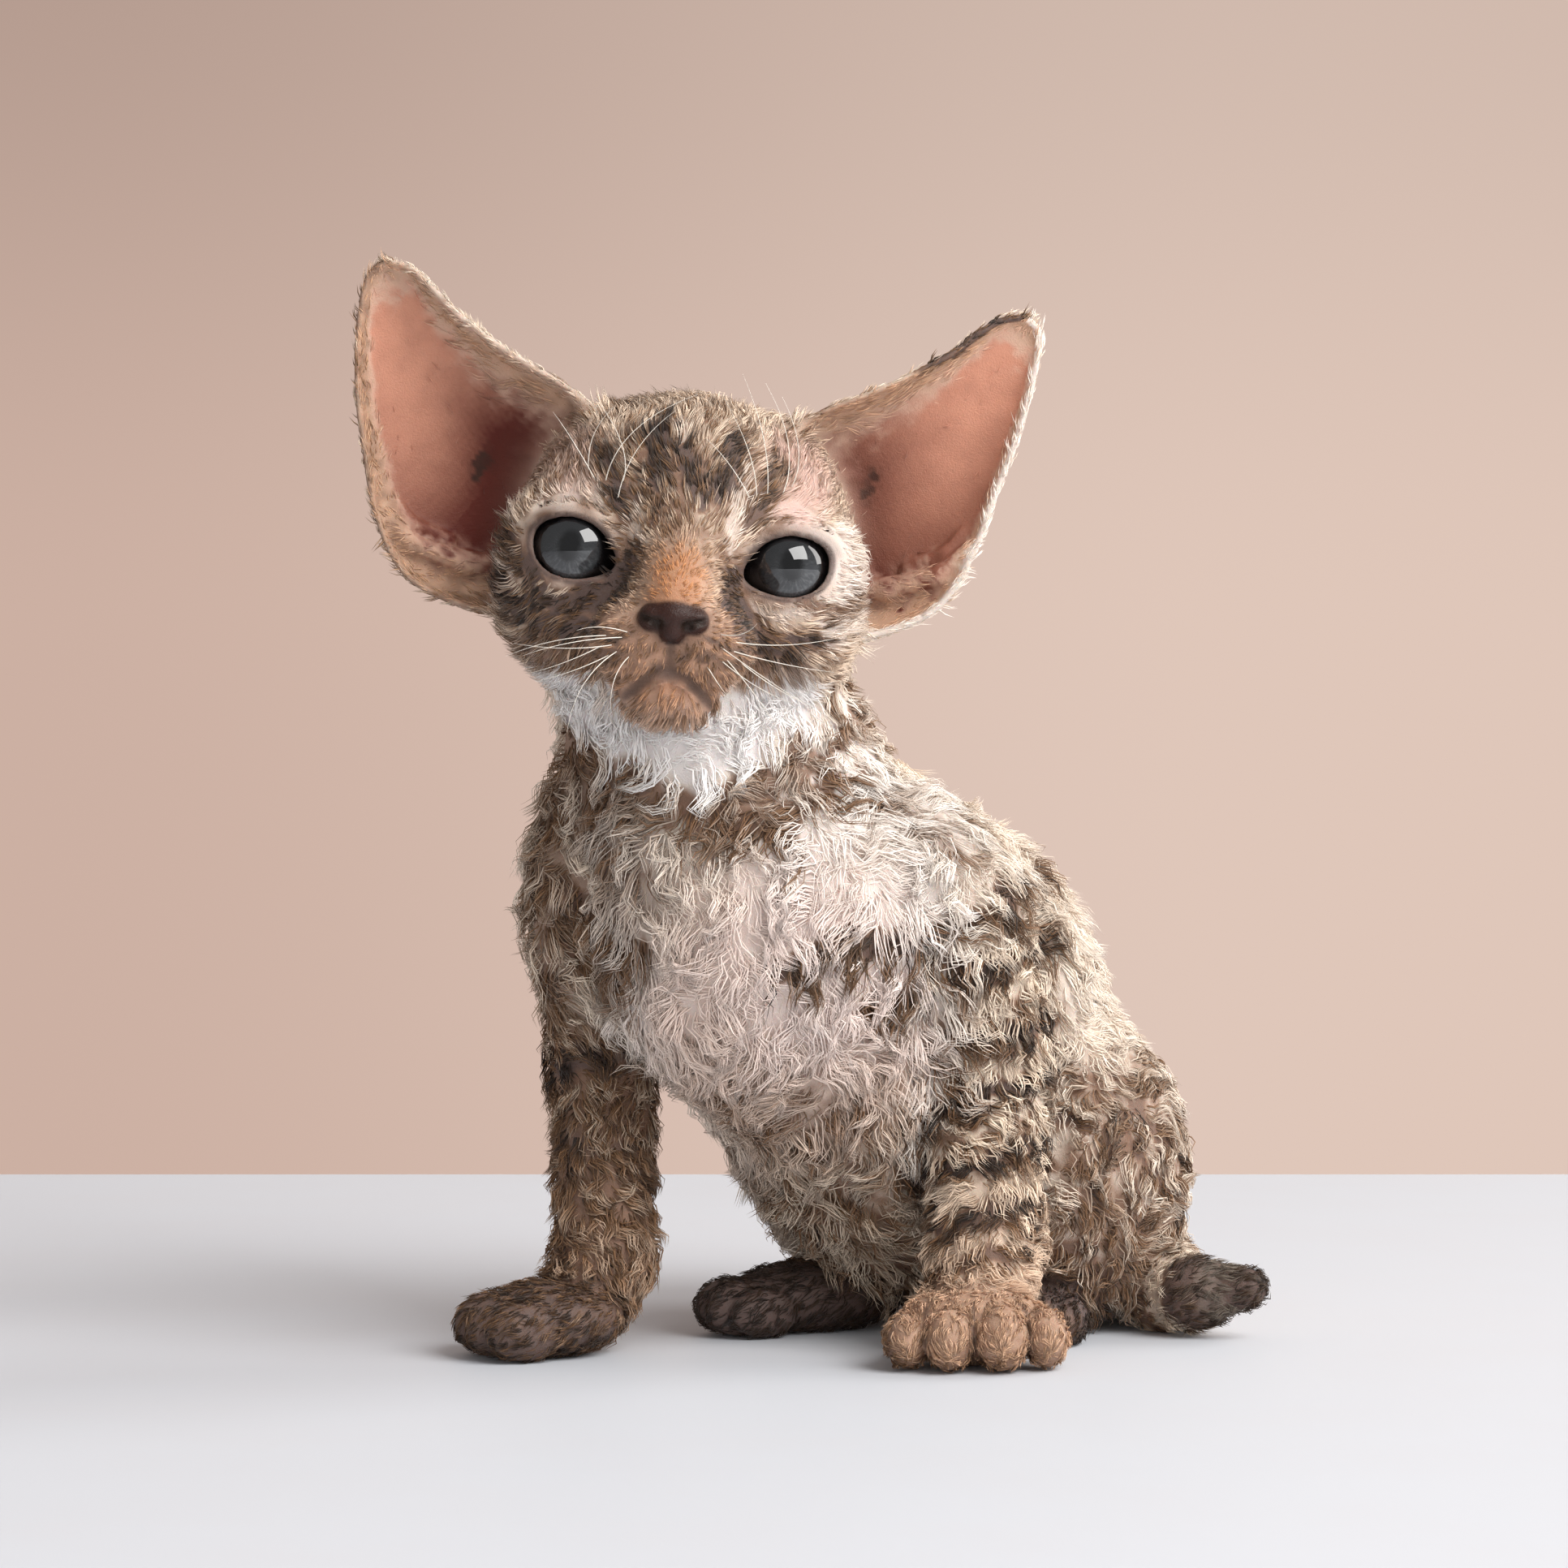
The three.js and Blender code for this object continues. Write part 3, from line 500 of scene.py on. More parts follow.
class Ear:
    """The middle of an ear's sheet, in the world, with its place on the cup at each point"""

    def __init__(self, name, depth):
        side = SIDES[name]
        mirror = np.array([side, 1, 1])
        t = np.repeat(np.minimum(np.linspace(0, 1, EAR_ROWS + 1), 0.985), EAR_COLUMNS + 1)
        turn = np.tile(np.linspace(0, math.pi, EAR_COLUMNS + 1), EAR_ROWS + 1)
        outward, up = EAR_SPREAD[name]
        spread = np.array([outward * side, 0, up])
        inner = curve_through(EAR_INNER, t) * mirror
        outer = curve_through(EAR_OUTER, t) * mirror + spread * np.sin(t * math.pi)[:, None]
        facing = unit(np.array([EAR_FACING]))[0] * mirror
        half = (outer - inner) / 2
        deep = depth * (1 - t) ** 0.7 * np.sin(turn)
        points = inner + half * (1 - np.cos(turn))[:, None] - facing * deep[:, None]
        self.points = HEAD.world(points)
        self.facing = HEAD.way(facing)
        self.t = t
        self.turn = turn
        self.low = self.points.min(0) - EAR_REACH
        self.high = self.points.max(0) + EAR_REACH
        wide = EAR_COLUMNS + 1
        corner = (np.arange(EAR_ROWS)[:, None] * wide + np.arange(EAR_COLUMNS)).ravel()
        self.corner = corner
        faces = np.stack([corner, corner + 1, corner + 1 + wide, corner + wide], axis=1)
        self.tree = BVHTree.FromPolygons(self.points.tolist(), faces.tolist())

    def nearest(self, points):
        """Distance to the sheet, and the place on the cup and side of it, at each point"""
        close = np.all((points > self.low) & (points < self.high), axis=1)
        off = np.full(len(points), EAR_REACH)
        at = np.zeros((len(points), 3))
        normal = np.zeros((len(points), 3))
        face = np.zeros(len(points), int)
        for i in np.flatnonzero(close):
            at[i], normal[i], face[i], off[i] = self.tree.find_nearest(points[i])
        corner = self.corner[face]
        front = dots(points - at, normal) * np.where(normal @ self.facing < 0, -1, 1)
        return off, self.t[corner] * close, self.turn[corner] * close, front

    def form(self, points):
        """Distance to the ear, which is thicker across the middle of its cup than at its rims"""
        off, _, turn, _ = self.nearest(points)
        sheet = off - (EAR_RIM + (EAR_MIDDLE - EAR_RIM) * np.sin(turn)) / 2
        close = off < EAR_REACH
        if close.any():
            sheet[close] = soft_min(sheet[close], self.folds(points[close]), 0.9)
        return sheet

    def on_cup(self, t, turn, lift):
        """A point of the cup, lifted towards the way that it faces"""
        row = round(t * EAR_ROWS) * (EAR_COLUMNS + 1)
        return self.points[row + round(turn / math.pi * EAR_COLUMNS)] + self.facing * lift

    @functools.cached_property
    def folds(self):
        """The pocket at the lower outer edge and the ridges at the root of the cup"""
        return blend(
            0.8,
            *[
                chain(1.0, *[(self.on_cup(*place), radius) for *place, radius in fold])
                for fold in EAR_FOLDS
            ],
        )


@functools.cache
def ears():
    depth = bpy.context.scene.kitten_sizes.ear_depth / MM
    return {name: Ear(name, depth) for name in SIDES}


# The whole skin, and the parts of the body that its coat goes by

# How far the skin lies inside the outer surface of the short fur or of the solids' core
INSET = {"head": 0.5, "ear": 0.0, "trunk": 1.5, "foreleg": 1.3, "foot": 0.5, "tail": 0.8}
FLOOR_CLEAR = 0.15
CROWN_INSET = 1.6
# The belly draws in beside the left foreleg, which stands clear of it
BELLY_TUCK = 4.5
BELLY_AT = (20, -17, 48)
BELLY_SIZE = 14
# The trunk draws back this far from the left foreleg's upper part, within this width of it
ARM_CLEAR = 3.0
ARM_GROOVE = 6.5
REGION_SOFTNESS = 1.6


def upper_arm(points):
    """How much each point belongs to the stretch of the left foreleg that lies along the trunk"""
    ahead = smooth(10, 2, points[:, 1]) * smooth(12, 18, points[:, 0])
    return smooth(ARM_GROOVE, 2, LEFT_FORELEG(points)) * smooth(71, 65, points[:, 2]) * ahead


def part_distances(points):
    """Distance to each part of the body that has fur of its own"""
    ear = np.minimum(*[e.form(points) for e in ears().values()])
    legs = np.minimum(LEFT_FORELEG(points), RIGHT_FORELEG(points))
    pads = np.minimum.reduce([pad(points) for pad in PADS])
    clear = ARM_CLEAR * upper_arm(points)
    return {
        "head": HEAD_FORM(points),
        "ear": ear,
        "trunk": soft_min(blend(9, TRUNK, NECK, SHOULDERS)(points), THIGHS(points), 6) + clear,
        "foreleg": legs,
        "foot": soft_min(pads, TOES(points), 0.6),
        "tail": TAIL_FORM(points),
    }


def shares(distances):
    """How much each point belongs to each part"""
    names = list(distances)
    stack = np.stack([distances[name] for name in names])
    pull = np.exp(-np.clip(stack - stack.min(0), 0, 30) / REGION_SOFTNESS)
    pull /= pull.sum(0)
    return dict(zip(names, pull))


def skin(points):
    """Distance to the skin, at points in millimetres"""
    points = np.asarray(points, float)
    sizes = bpy.context.scene.kitten_sizes
    parts = part_distances(points)
    share = shares(parts)
    tuck = BELLY_TUCK * np.exp(-np.square(lengths(points - np.array(BELLY_AT)) / BELLY_SIZE))
    total = soft_min(parts["trunk"] + tuck, parts["foreleg"], 2)
    total = soft_min(total, parts["head"], 6)
    total = soft_min(total, parts["foot"], 2)
    total = soft_min(total, parts["tail"], 3)
    total = total + sum(share[name] * INSET[name] for name in INSET)
    total = total + CROWN_INSET * smooth(17, 26, HEAD.local(points)[:, 2]) * share["head"]
    total = soft_min(total, parts["ear"], 5)
    q = HEAD.local(points)
    face = (q[:, 1] < -8) & (np.abs(q[:, 0]) < 30) & (np.abs(q[:, 2]) < 30)
    if face.any():
        total[face] = with_face(q[face], total[face], sizes)
    return np.maximum(total, FLOOR_CLEAR - points[:, 2])


# Meshing

# Grid points along a block, of which only the middle is sampled where no surface is near
BLOCK = 4


def steps(*stretches):
    """Grid lines through stretches of start, end and cell"""
    lines = [np.arange(start, end, cell) for start, end, cell in stretches]
    return np.concatenate(lines)


def sampled(form, axes, margin):
    """Values of a form on a grid: exact near its surface, and rough further off"""
    axes = [a[: len(a) // BLOCK * BLOCK] for a in axes]
    middles = [a.reshape(-1, BLOCK).mean(1) for a in axes]
    spans = [np.ptp(a.reshape(-1, BLOCK), axis=1) / 2 + 0.6 for a in axes]
    coarse = np.stack(np.meshgrid(*middles, indexing="ij"), axis=-1)
    reach = np.sqrt(sum(np.square(s) for s in np.meshgrid(*spans, indexing="ij")))
    rough = form(coarse.reshape(-1, 3)).reshape(coarse.shape[:3])
    values = rough.astype(np.float32)
    for k in range(3):
        values = np.repeat(values, BLOCK, axis=k)
    near = np.argwhere(np.abs(rough) < 1.5 * reach + margin)
    inner = np.stack(np.meshgrid(*[np.arange(BLOCK)] * 3, indexing="ij"), axis=-1).reshape(-1, 3)
    for group in np.array_split(near, max(1, len(near) // 6000)):
        at = (group[:, None] * BLOCK + inner).reshape(-1, 3)
        points = np.stack([axes[k][at[:, k]] for k in range(3)], axis=1)
        values[at[:, 0], at[:, 1], at[:, 2]] = form(points)
    return values, axes


def net(values, axes):
    """Points and quads of the surface in sampled values, one point in each cell that it crosses"""
    inside = values < 0
    low, high = slice(None, -1), slice(1, None)
    corners = [(a, b, c) for a in (0, 1) for b in (0, 1) for c in (0, 1)]
    pick = (low, high)
    count = sum(inside[pick[a], pick[b], pick[c]].astype(np.int8) for a, b, c in corners)
    crossed = (count > 0) & (count < 8)
    cells = np.argwhere(crossed)
    number = np.full(crossed.shape, -1, np.int32)
    number[crossed] = np.arange(len(cells))
    total = np.zeros((len(cells), 3))
    hits = np.zeros(len(cells))
    for a in corners:
        for k in range(3):
            if a[k]:
                continue
            b = tuple(v + (i == k) for i, v in enumerate(a))
            at, to = cells + a, cells + b
            start = values[at[:, 0], at[:, 1], at[:, 2]]
            end = values[to[:, 0], to[:, 1], to[:, 2]]
            cross = (start < 0) != (end < 0)
            share = np.where(cross, start / np.where(cross, start - end, 1), 0)
            p = np.stack([axes[i][at[:, i]] for i in range(3)], axis=1)
            p[:, k] += share * (axes[k][to[:, k]] - p[:, k])
            total += p * cross[:, None]
            hits += cross
    points = total / hits[:, None]
    quads = []
    for k in range(3):
        i, j = (k + 1) % 3, (k + 2) % 3
        start = np.moveaxis(inside, k, 0)[:-1]
        end = np.moveaxis(inside, k, 0)[1:]
        edge = np.argwhere(start != end)
        order = [0, 0, 0]
        for axis, column in zip([k] + [a for a in range(3) if a != k], range(3)):
            order[axis] = column
        edge_cells = edge[:, order]
        edge_cells = edge_cells[(edge_cells[:, i] > 0) & (edge_cells[:, j] > 0)]
        ring = []
        for back_i, back_j in ((1, 1), (0, 1), (0, 0), (1, 0)):
            cell = edge_cells.copy()
            cell[:, i] -= back_i
            cell[:, j] -= back_j
            ring.append(number[cell[:, 0], cell[:, 1], cell[:, 2]])
        quad = np.stack(ring, axis=1)
        outward = inside[edge_cells[:, 0], edge_cells[:, 1], edge_cells[:, 2]]
        quad[~outward] = quad[~outward][:, ::-1]
        quads.append(quad)
    return points, np.vstack(quads)


def normals_of(points, quads):
    a, b, c, d = (points[quads[:, k]] for k in range(4))
    across = np.cross(c - a, d - b)
    total = np.zeros_like(points)
    for k in range(4):
        np.add.at(total, quads[:, k], across)
    return unit(total)


@functools.cache
def skin_mesh():
    """Points, normals and quads of the skin, in millimetres"""
    sizes = bpy.context.scene.kitten_sizes
    fine = sizes.fine_cell / MM * 1
    wide = sizes.wide_cell / MM * 1
    axes = [
        steps((-72, 42, fine), (42, 84, wide)),
        steps((-54, -20, fine), (-20, 16, 1.2 * fine), (16, 84, wide)),
        steps((-2, 18, 1.2 * fine), (18, 94, wide), (94, 176, fine)),
    ]
    values, axes = sampled(skin, axes, 1.0)
    points, quads = net(values, axes)
    for _ in range(2):
        normals = normals_of(points, quads)
        points = points - normals * np.clip(skin(points), -0.4, 0.4)[:, None]
    return points, normals_of(points, quads), quads


class Field:
    """The skin's distance and direction, looked up on an even grid"""

    CELL = 1.5

    def __init__(self):
        points = skin_mesh()[0]
        self.low = points.min(0) - 14
        high = points.max(0) + 14
        axes = [np.arange(self.low[k], high[k], self.CELL) for k in range(3)]
        values, axes = sampled(skin, axes, 9.0)
        slopes = np.gradient(values, self.CELL)
        self.grid = np.stack([values, *slopes], axis=-1)
        self.size = np.array(self.grid.shape[:3]) - 2

    def at(self, points):
        place = np.clip((points - self.low) / self.CELL, 0, self.size)
        cell = place.astype(int)
        part = place - cell
        total = 0
        for corner in np.ndindex(2, 2, 2):
            weight = np.prod(np.where(corner, part, 1 - part), axis=1)
            at = cell + corner
            total = total + self.grid[at[:, 0], at[:, 1], at[:, 2]] * weight[:, None]
        return total[:, 0], unit(total[:, 1:])


@functools.cache
def field():
    return Field()


def mesh_object(name, points, faces):
    """A mesh object in metres, from points in millimetres and faces of one size or a list of such faces"""
    groups = faces if isinstance(faces, list) else [faces]
    mesh = bpy.data.meshes.new(name)
    mesh.vertices.add(len(points))
    mesh.vertices.foreach_set("co", ((np.asarray(points) + shift()) * MM).astype(np.float32).ravel())
    loops = np.concatenate([g.ravel() for g in groups])
    totals = np.concatenate([np.full(len(g), g.shape[1]) for g in groups])
    mesh.loops.add(len(loops))
    mesh.loops.foreach_set("vertex_index", loops.astype(np.int32))
    mesh.polygons.add(len(totals))
    mesh.polygons.foreach_set("loop_start", np.concatenate([[0], np.cumsum(totals)[:-1]]).astype(np.int32))
    mesh.update(calc_edges=True)
    mesh.polygons.foreach_set("use_smooth", np.full(len(totals), True))
    mesh.update()
    piece = bpy.data.objects.new(name, mesh)
    bpy.context.scene.collection.objects.link(piece)
    return piece


@functools.cache
def shift():
    """From the recipe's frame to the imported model's, as the left eye shows it"""
    low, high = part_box("eye_left")
    middle = np.array([low.x + high.x, low.y + high.y, low.z + high.z]) / 2 / MM
    return middle - HEAD.world([EYE_AT])[0]


# Markings and painted shade: shares from 0 to 1 of each colour at each point, the same for skin and coat

COAT_CHANNELS = ("dark", "tan", "pink", "white")
BARE_CHANNELS = ("tip", "peach", "red", "mauve")
PATCHY = Ripples(21, 15, (1, 1, 0.8))
SPOTTY = Ripples(22, 6.0)
FLECKS = Ripples(23, 3.2)
WOBBLE = Ripples(24, 11)
THIN = Ripples(25, 6)
# Bars round the forelegs, as height, half thickness and strength
BAR_SLOPE = 0.25
LEG_BARS = {
    "left": [
        (61, 2.8, 1.0),
        (54, 1.6, 0.6),
        (49.5, 2.4, 1.0),
        (41, 2.6, 1.0),
        (36, 1.4, 0.6),
        (31, 2.7, 1.0),
        (23, 2.2, 0.9),
        (17, 2.2, 0.85),
    ],
    "right": [
        (60, 3.2, 0.8),
        (47, 4.0, 1.0),
        (38, 2.0, 0.7),
        (32, 2.2, 0.85),
        (24, 2.2, 0.75),
        (17, 2.2, 0.7),
    ],
}
# Stripes on the front of the trunk, as points seen from the front, half thickness and strength
CHEST_STRIPES = [
    ([(-31, 94), (-24, 88), (-18, 87)], 2.8, 0.6),
    ([(-16, 88), (-8, 84), (0, 84), (5, 88)], 2.8, 0.75),
    ([(-36, 86), (-30, 80), (-22, 77)], 2.6, 0.55),
    ([(4, 93), (10, 97), (14, 101)], 2.2, 0.6),
    ([(-1, 62), (9, 66), (22, 66), (33, 70), (38, 76)], 2.6, 0.95),
    ([(14, 55), (24, 57), (34, 60), (38, 66)], 2.6, 0.85),
    ([(-38, 76), (-31, 70), (-24, 66)], 2.6, 0.8),
    ([(-36, 66), (-30, 61), (-24, 58)], 2.4, 0.7),
    ([(22, 92), (29, 88), (34, 82)], 2.4, 0.65),
    ([(13, 79), (21, 83), (30, 77)], 1.6, 0.4),
]
# Stripes on the head, in its own frame seen from the front
FACE_STRIPES = [
    ([(-4.4, 19), (-4.2, 15.5), (-3.4, 11)], 2.1, 1.15),
    ([(-0.8, 15.5), (0.6, 13), (2.4, 9.5)], 1.9, 1.1),
    ([(5.9, 18), (6.3, 14.5), (5.2, 10)], 2.1, 1.1),
    ([(-12.4, 14), (-10.6, 10.5), (-8.4, 6)], 1.8, 1.0),
    ([(13, 14), (11.6, 10.5), (10.2, 6)], 1.9, 0.9),
    ([(-1, 10), (-0.4, 6), (0, 1.5)], 2.2, 0.65),
    ([(-7.0, -0.5), (-8.4, -4), (-11.5, -6.8), (-14, -6.4)], 2.3, 1.1),
    ([(8.0, -1.5), (8.4, -5), (10.5, -8.5)], 2.1, 1.05),
    ([(-27, 1), (-20, -7.5), (-12, -8.5)], 1.9, 0.95),
    ([(-28, -6), (-20, -12), (-12, -11.5)], 2.0, 1.0),
    ([(-27, -14), (-19, -17), (-13, -16)], 1.5, 0.65),
    ([(10, -9.5), (15, -12.3), (21, -10.5)], 2.1, 1.0),
    ([(19, -5), (24, -7), (28, -4)], 1.4, 0.6),
    ([(12, -15), (18, -16.5), (24, -13)], 1.2, 0.55),
    ([(5, -11.6), (9, -13.0), (14, -12.4)], 0.7, 0.85),
    ([(5, -14.0), (9, -15.4), (14, -15.2)], 0.7, 0.75),
    ([(-5, -11.6), (-9, -13.0), (-14, -12.4)], 0.7, 0.85),
    ([(-5, -14.0), (-9, -15.4), (-14, -15.2)], 0.7, 0.75),
]
# Pale streaks on the forehead and round the eyes
FACE_LIGHTS = [
    ([(7.8, 13), (7.4, 6), (7.6, 1)], 1.3, 0.8),
    ([(-7.4, 6.5), (-6.6, 2), (-6.2, -1)], 1.4, 0.6),
    ([(-1.6, 20), (-1.8, 15)], 0.8, 0.4),
    ([(9, 7), (15, 8.5), (22, 6)], 1.5, 0.7),
    ([(-9, 7.5), (-15, 9), (-22, 6)], 1.3, 0.5),
    ([(23, 5), (26, -2), (23, -9)], 3.0, 0.9),
    ([(-27, 5), (-28, -2), (-26, -9)], 2.2, 0.6),
    ([(10, -6.5), (16, -7.5), (22, -5)], 1.2, 0.6),
]
TAIL_RINGS = 8.6
# The white bib under the chin, seen from the front
BIB = [(-35, 105), (-25, 99), (-15.5, 96), (-6, 99), (1, 104)]


def near_line(line, points):
    """Distance in a plane to a line through a few points"""
    best = np.full(len(points), FAR)
    line = np.array(line, float)
    for a, b in zip(line, line[1:]):
        d = b - a
        t = np.clip((points - a) @ d / (d @ d), 0, 1)
        best = np.minimum(best, lengths(points - a - t[:, None] * d))
    return best


def striped(stripes, points, wobble):
    """How strongly each point of a plane lies in one of the stripes"""
    total = np.zeros(len(points))
    for line, half, strength in stripes:
        off = near_line(line, points) + wobble
        total = np.maximum(total, strength * (1 - smooth(half * 0.55, half * 1.35, off)))
    return total


def patch(points, at, size, edge=0.35):
    """A soft round patch in a plane"""
    off = np.hypot((points[:, 0] - at[0]) / size[0], (points[:, 1] - at[1]) / size[1])
    return 1 - smooth(1 - edge, 1 + edge, off)


def leg_bars(points, flecks):
    """The dark bars round the forelegs"""
    bars = np.zeros(len(points))
    for name, rows in LEG_BARS.items():
        here = np.where(points[:, 0] * SIDES[name] > 0, 1.0, 0.0)
        for height, half, strength in rows:
            slope = BAR_SLOPE * (points[:, 0] - SIDES[name] * 30)
            off = np.abs(points[:, 2] - slope - height - 1.2 * WOBBLE(points)) + 0.4 * flecks
            bars = np.maximum(bars, here * strength * (1 - smooth(half * 0.4, half * 1.2, off)))
    return bars


def toe_gap(points):
    """How far each point is from being as near to one toe as to the next"""
    reach = np.sort(np.stack([toe(points) for toe in toe_forms()]), axis=0)
    return np.where(reach[1] < 2.2, reach[1] - reach[0], 9.0)


def tail_run(points):
    """How far along the tail each point is, in millimetres, and the way that the tail runs there"""
    best = np.full(len(points), FAR)
    run = np.zeros(len(points))
    way = np.zeros((len(points), 3))
    start = 0.0
    for (a, _), (b, _) in zip(TAIL_STATIONS, TAIL_STATIONS[1:]):
        a = np.array(a, float)
        d = np.array(b, float) - a
        reach = math.sqrt(d @ d)
        t = np.clip((points - a) @ d / (d @ d), 0, 1)
        off = lengths(points - a - t[:, None] * d)
        closer = off < best
        best = np.where(closer, off, best)
        run = np.where(closer, start + t * reach, run)
        way[closer] = d / reach
        start += reach
    return run, way, start


def soft_patches(points, flecks):
    """The broad patches of the back and crown"""
    return smooth(0.1, 1.0, PATCHY(points) + 0.25 * flecks)


def bib_mark(points, front, wobble):
    """The white bib under the chin, deeper just to the kitten's left of its middle"""
    off = near_line(BIB, points[:, [0, 2]]) + 0.7 * wobble
    deeper = 2.5 * smooth(-22, -12, points[:, 0]) * smooth(0, -10, points[:, 0])
    return front * (1 - smooth(3.2, 5.6, off - deeper))


def trunk_marks_and_shade(points, normals, flecks, bib):
    """Soft patches above, spots low on the sides and haunches, stripes in front, and painted shade low in
    front and on the right front
    """
    front = smooth(0.15, -0.35, normals[:, 1])
    x, y, z = points.T
    plane = points[:, [0, 2]]
    stripes = striped(CHEST_STRIPES, plane, 0.9 * THIN(points))
    side = smooth(2, 16, np.abs(BODY.local(points)[:, 0]))
    low = smooth(62, 40, z)
    chest = front * smooth(34, 24, np.abs(x + 2))
    spots = smooth(0.15, 0.75, SPOTTY(points) + 0.25 * flecks)
    patches = soft_patches(points, flecks)
    dark = (0.8 * spots * low + 0.6 * patches * (1 - low)) * (1 - 0.75 * chest * smooth(88, 76, z))

    # Paler on the left side and shoulder, and darker on the arm's bars; painted shade darkens the belly low
    # in front and the front on the kitten's right
    pale = np.maximum(0.7 * smooth(28, 44, x) * smooth(38, 52, z), 0.4 * patch(plane, (27, 80), (14, 15)))
    dark = np.maximum(dark * (1 - pale), front * stripes)
    arm = upper_arm(points)
    dark = dark * (1 - arm) + arm * np.maximum(leg_bars(points, flecks), 0.14)
    # Painted shade low on the belly, where it also takes away the chest's white
    under = front * smooth(56, 40, z) * (1 - arm)
    dark = np.maximum(dark, under * (0.52 + 0.1 * flecks))
    shaded = front * smooth(-8, -30, x) * smooth(50, 66, z)
    dark = np.maximum(dark, 0.52 * shaded)

    belly = front * patch(plane, (0, 56), (24, 24)) * (1 - stripes)
    return {
        "dark": dark * (1 - 0.3 * belly) * (1 - bib),
        "pink": 0.35 * belly,
        "white": np.maximum(0.38 * chest * (1 - under) + 0.3 * (1 - dark) * side, bib),
    }


def leg_marks(points, flecks):
    """Bars all round the forelegs, darker on the right one, over a tan that deepens towards the paws"""
    ground = 0.48 * smooth(-5, -20, points[:, 0]) + 0.2
    return {
        "dark": np.maximum(leg_bars(points, flecks), ground),
        "tan": 0.35 * smooth(40, 10, points[:, 2]),
    }


def foot_marks_and_shade(points, flecks):
    """Tan on the left forefoot and browner on the others, with painted shade in the grooves between the toes,
    on the hind feet and near the floor
    """
    x, y, z = points.T
    left_foot = smooth(10, 20, x) * smooth(2, -6, y)
    # Painted shade on the hind feet, under the belly, and on the feet's lowest edge by the floor
    hind_shade = smooth(-4, 6, y + 0.35 * x) * (1 - left_foot)
    floor_shade = smooth(5, 1, z)
    return {
        "dark": 0.36 + 0.58 * (1 - left_foot) + 0.4 * hind_shade + 0.2 * floor_shade + 0.05 * flecks,
        "tan": 0.3 + 0.35 * left_foot,
        "tip": np.maximum(0.8 * smooth(0.9, 0.1, toe_gap(points)), 0.85 * hind_shade + 0.2 * (1 - left_foot)),
    }


def tail_marks(points, flecks):
    """Rings round the tail, and a dark tip"""
    run, _, whole = tail_run(points)
    rings = smooth(-0.2, 0.5, np.sin(run / TAIL_RINGS * 2 * math.pi) + 0.25 * flecks)
    return {"dark": 0.2 + 0.65 * rings, "tip": smooth(whole - 14, whole - 9, run + 0.8 * flecks)}


def head_marks(points, q, flecks, bib):
    """Stripes, pale streaks, tan bridge and pink temples; q is the points in the head's frame"""
    face = q[:, [0, 2]]
    thin = THIN(points)
    ahead = smooth(2, -10, q[:, 1])
    stripes = striped(FACE_STRIPES, face, 0.35 * thin + 0.22 * flecks) * ahead
    lights = striped(FACE_LIGHTS, face, 0.35 * thin) * ahead
    crown = 0.35 * smooth(0, 12, q[:, 1]) * soft_patches(points, flecks) - 0.12 * smooth(15, 24, q[:, 2])
    bridge = patch(face, (0, -3.0), (5.0, 5.6), 0.6) * ahead
    muzzle = patch(face, (0, -14.5), (15, 7.5), 0.5) * ahead
    chin = patch(face, (0, -22.5), (9.5, 4.5)) * ahead
    throat = smooth(-21.5, -24.5, q[:, 2] + 0.02 * face[:, 0] ** 2 + 0.4 * flecks)
    throat = throat * smooth(24, 18, np.abs(face[:, 0]))
    bib = np.maximum(bib * (q[:, 2] < -14), throat) * (1 - chin)
    temples = (patch(face, (16, 13.5), (6.5, 7)) + 0.7 * patch(face, (-17, 13), (6, 5))) * ahead
    lids = sum(0.5 * patch(face, (side * EYE_AT[0], 0.6), (8.0, 7.2)) for side in SIDES.values())
    ground = 0.45 + 0.12 * patch(face, (0, 8), (12, 12)) + 0.1 * thin + 0.12 * flecks
    ground = ground * (1 - 0.85 * lights) * (1 - 0.45 * smooth(13, 20, q[:, 0]))
    dark = np.maximum(stripes, (ground + crown) * (1 - bib) * (1 - 0.45 * lids))
    return {
        "dark": np.clip(dark, 0, 1) * (1 - 0.15 * chin) * (1 - 0.75 * bridge),
        "tan": np.clip(0.85 * bridge + 0.6 * muzzle + 0.2 * chin + 0.16, 0, 1) * (1 - bib),
        "pink": np.clip(0.8 * temples + 0.25 * chin + 0.25 * muzzle + 0.35 * lids, 0, 1) * (1 - stripes),
        "mauve": 0.08 * chin,
        "white": np.clip(bib + 0.2 * lids + 0.6 * lights, 0, 1),
    }


def marks_and_shade(points, normals):
    """Shares of colour at points in millimetres: two rows of four, as COAT_CHANNELS and BARE_CHANNELS name them"""
    share = shares(part_distances(points))
    flecks = FLECKS(points)
    q = HEAD.local(points)
    bib = bib_mark(points, smooth(0.15, -0.35, normals[:, 1]), 0.9 * THIN(points))
    own = {
        "trunk": trunk_marks_and_shade(points, normals, flecks, bib),
        "foreleg": leg_marks(points, flecks),
        "foot": foot_marks_and_shade(points, flecks),
        "tail": tail_marks(points, flecks),
        "head": head_marks(points, q, flecks, bib),
        "ear": ear_marks_and_shade(points, flecks),
    }
    names = COAT_CHANNELS + BARE_CHANNELS
    out = {
        name: sum(share[part] * np.asarray(own[part].get(name, 0.0)) for part in own) for name in names
    }
    leather, edge = rims(q)
    out["mauve"] = np.maximum(out["mauve"], leather)
    out["tip"] = np.maximum(out["tip"], edge)
    rows = [np.clip(np.broadcast_to(out[name], len(points)), 0, 1) for name in names]
    return np.stack(rows[:4], axis=1), np.stack(rows[4:], axis=1)


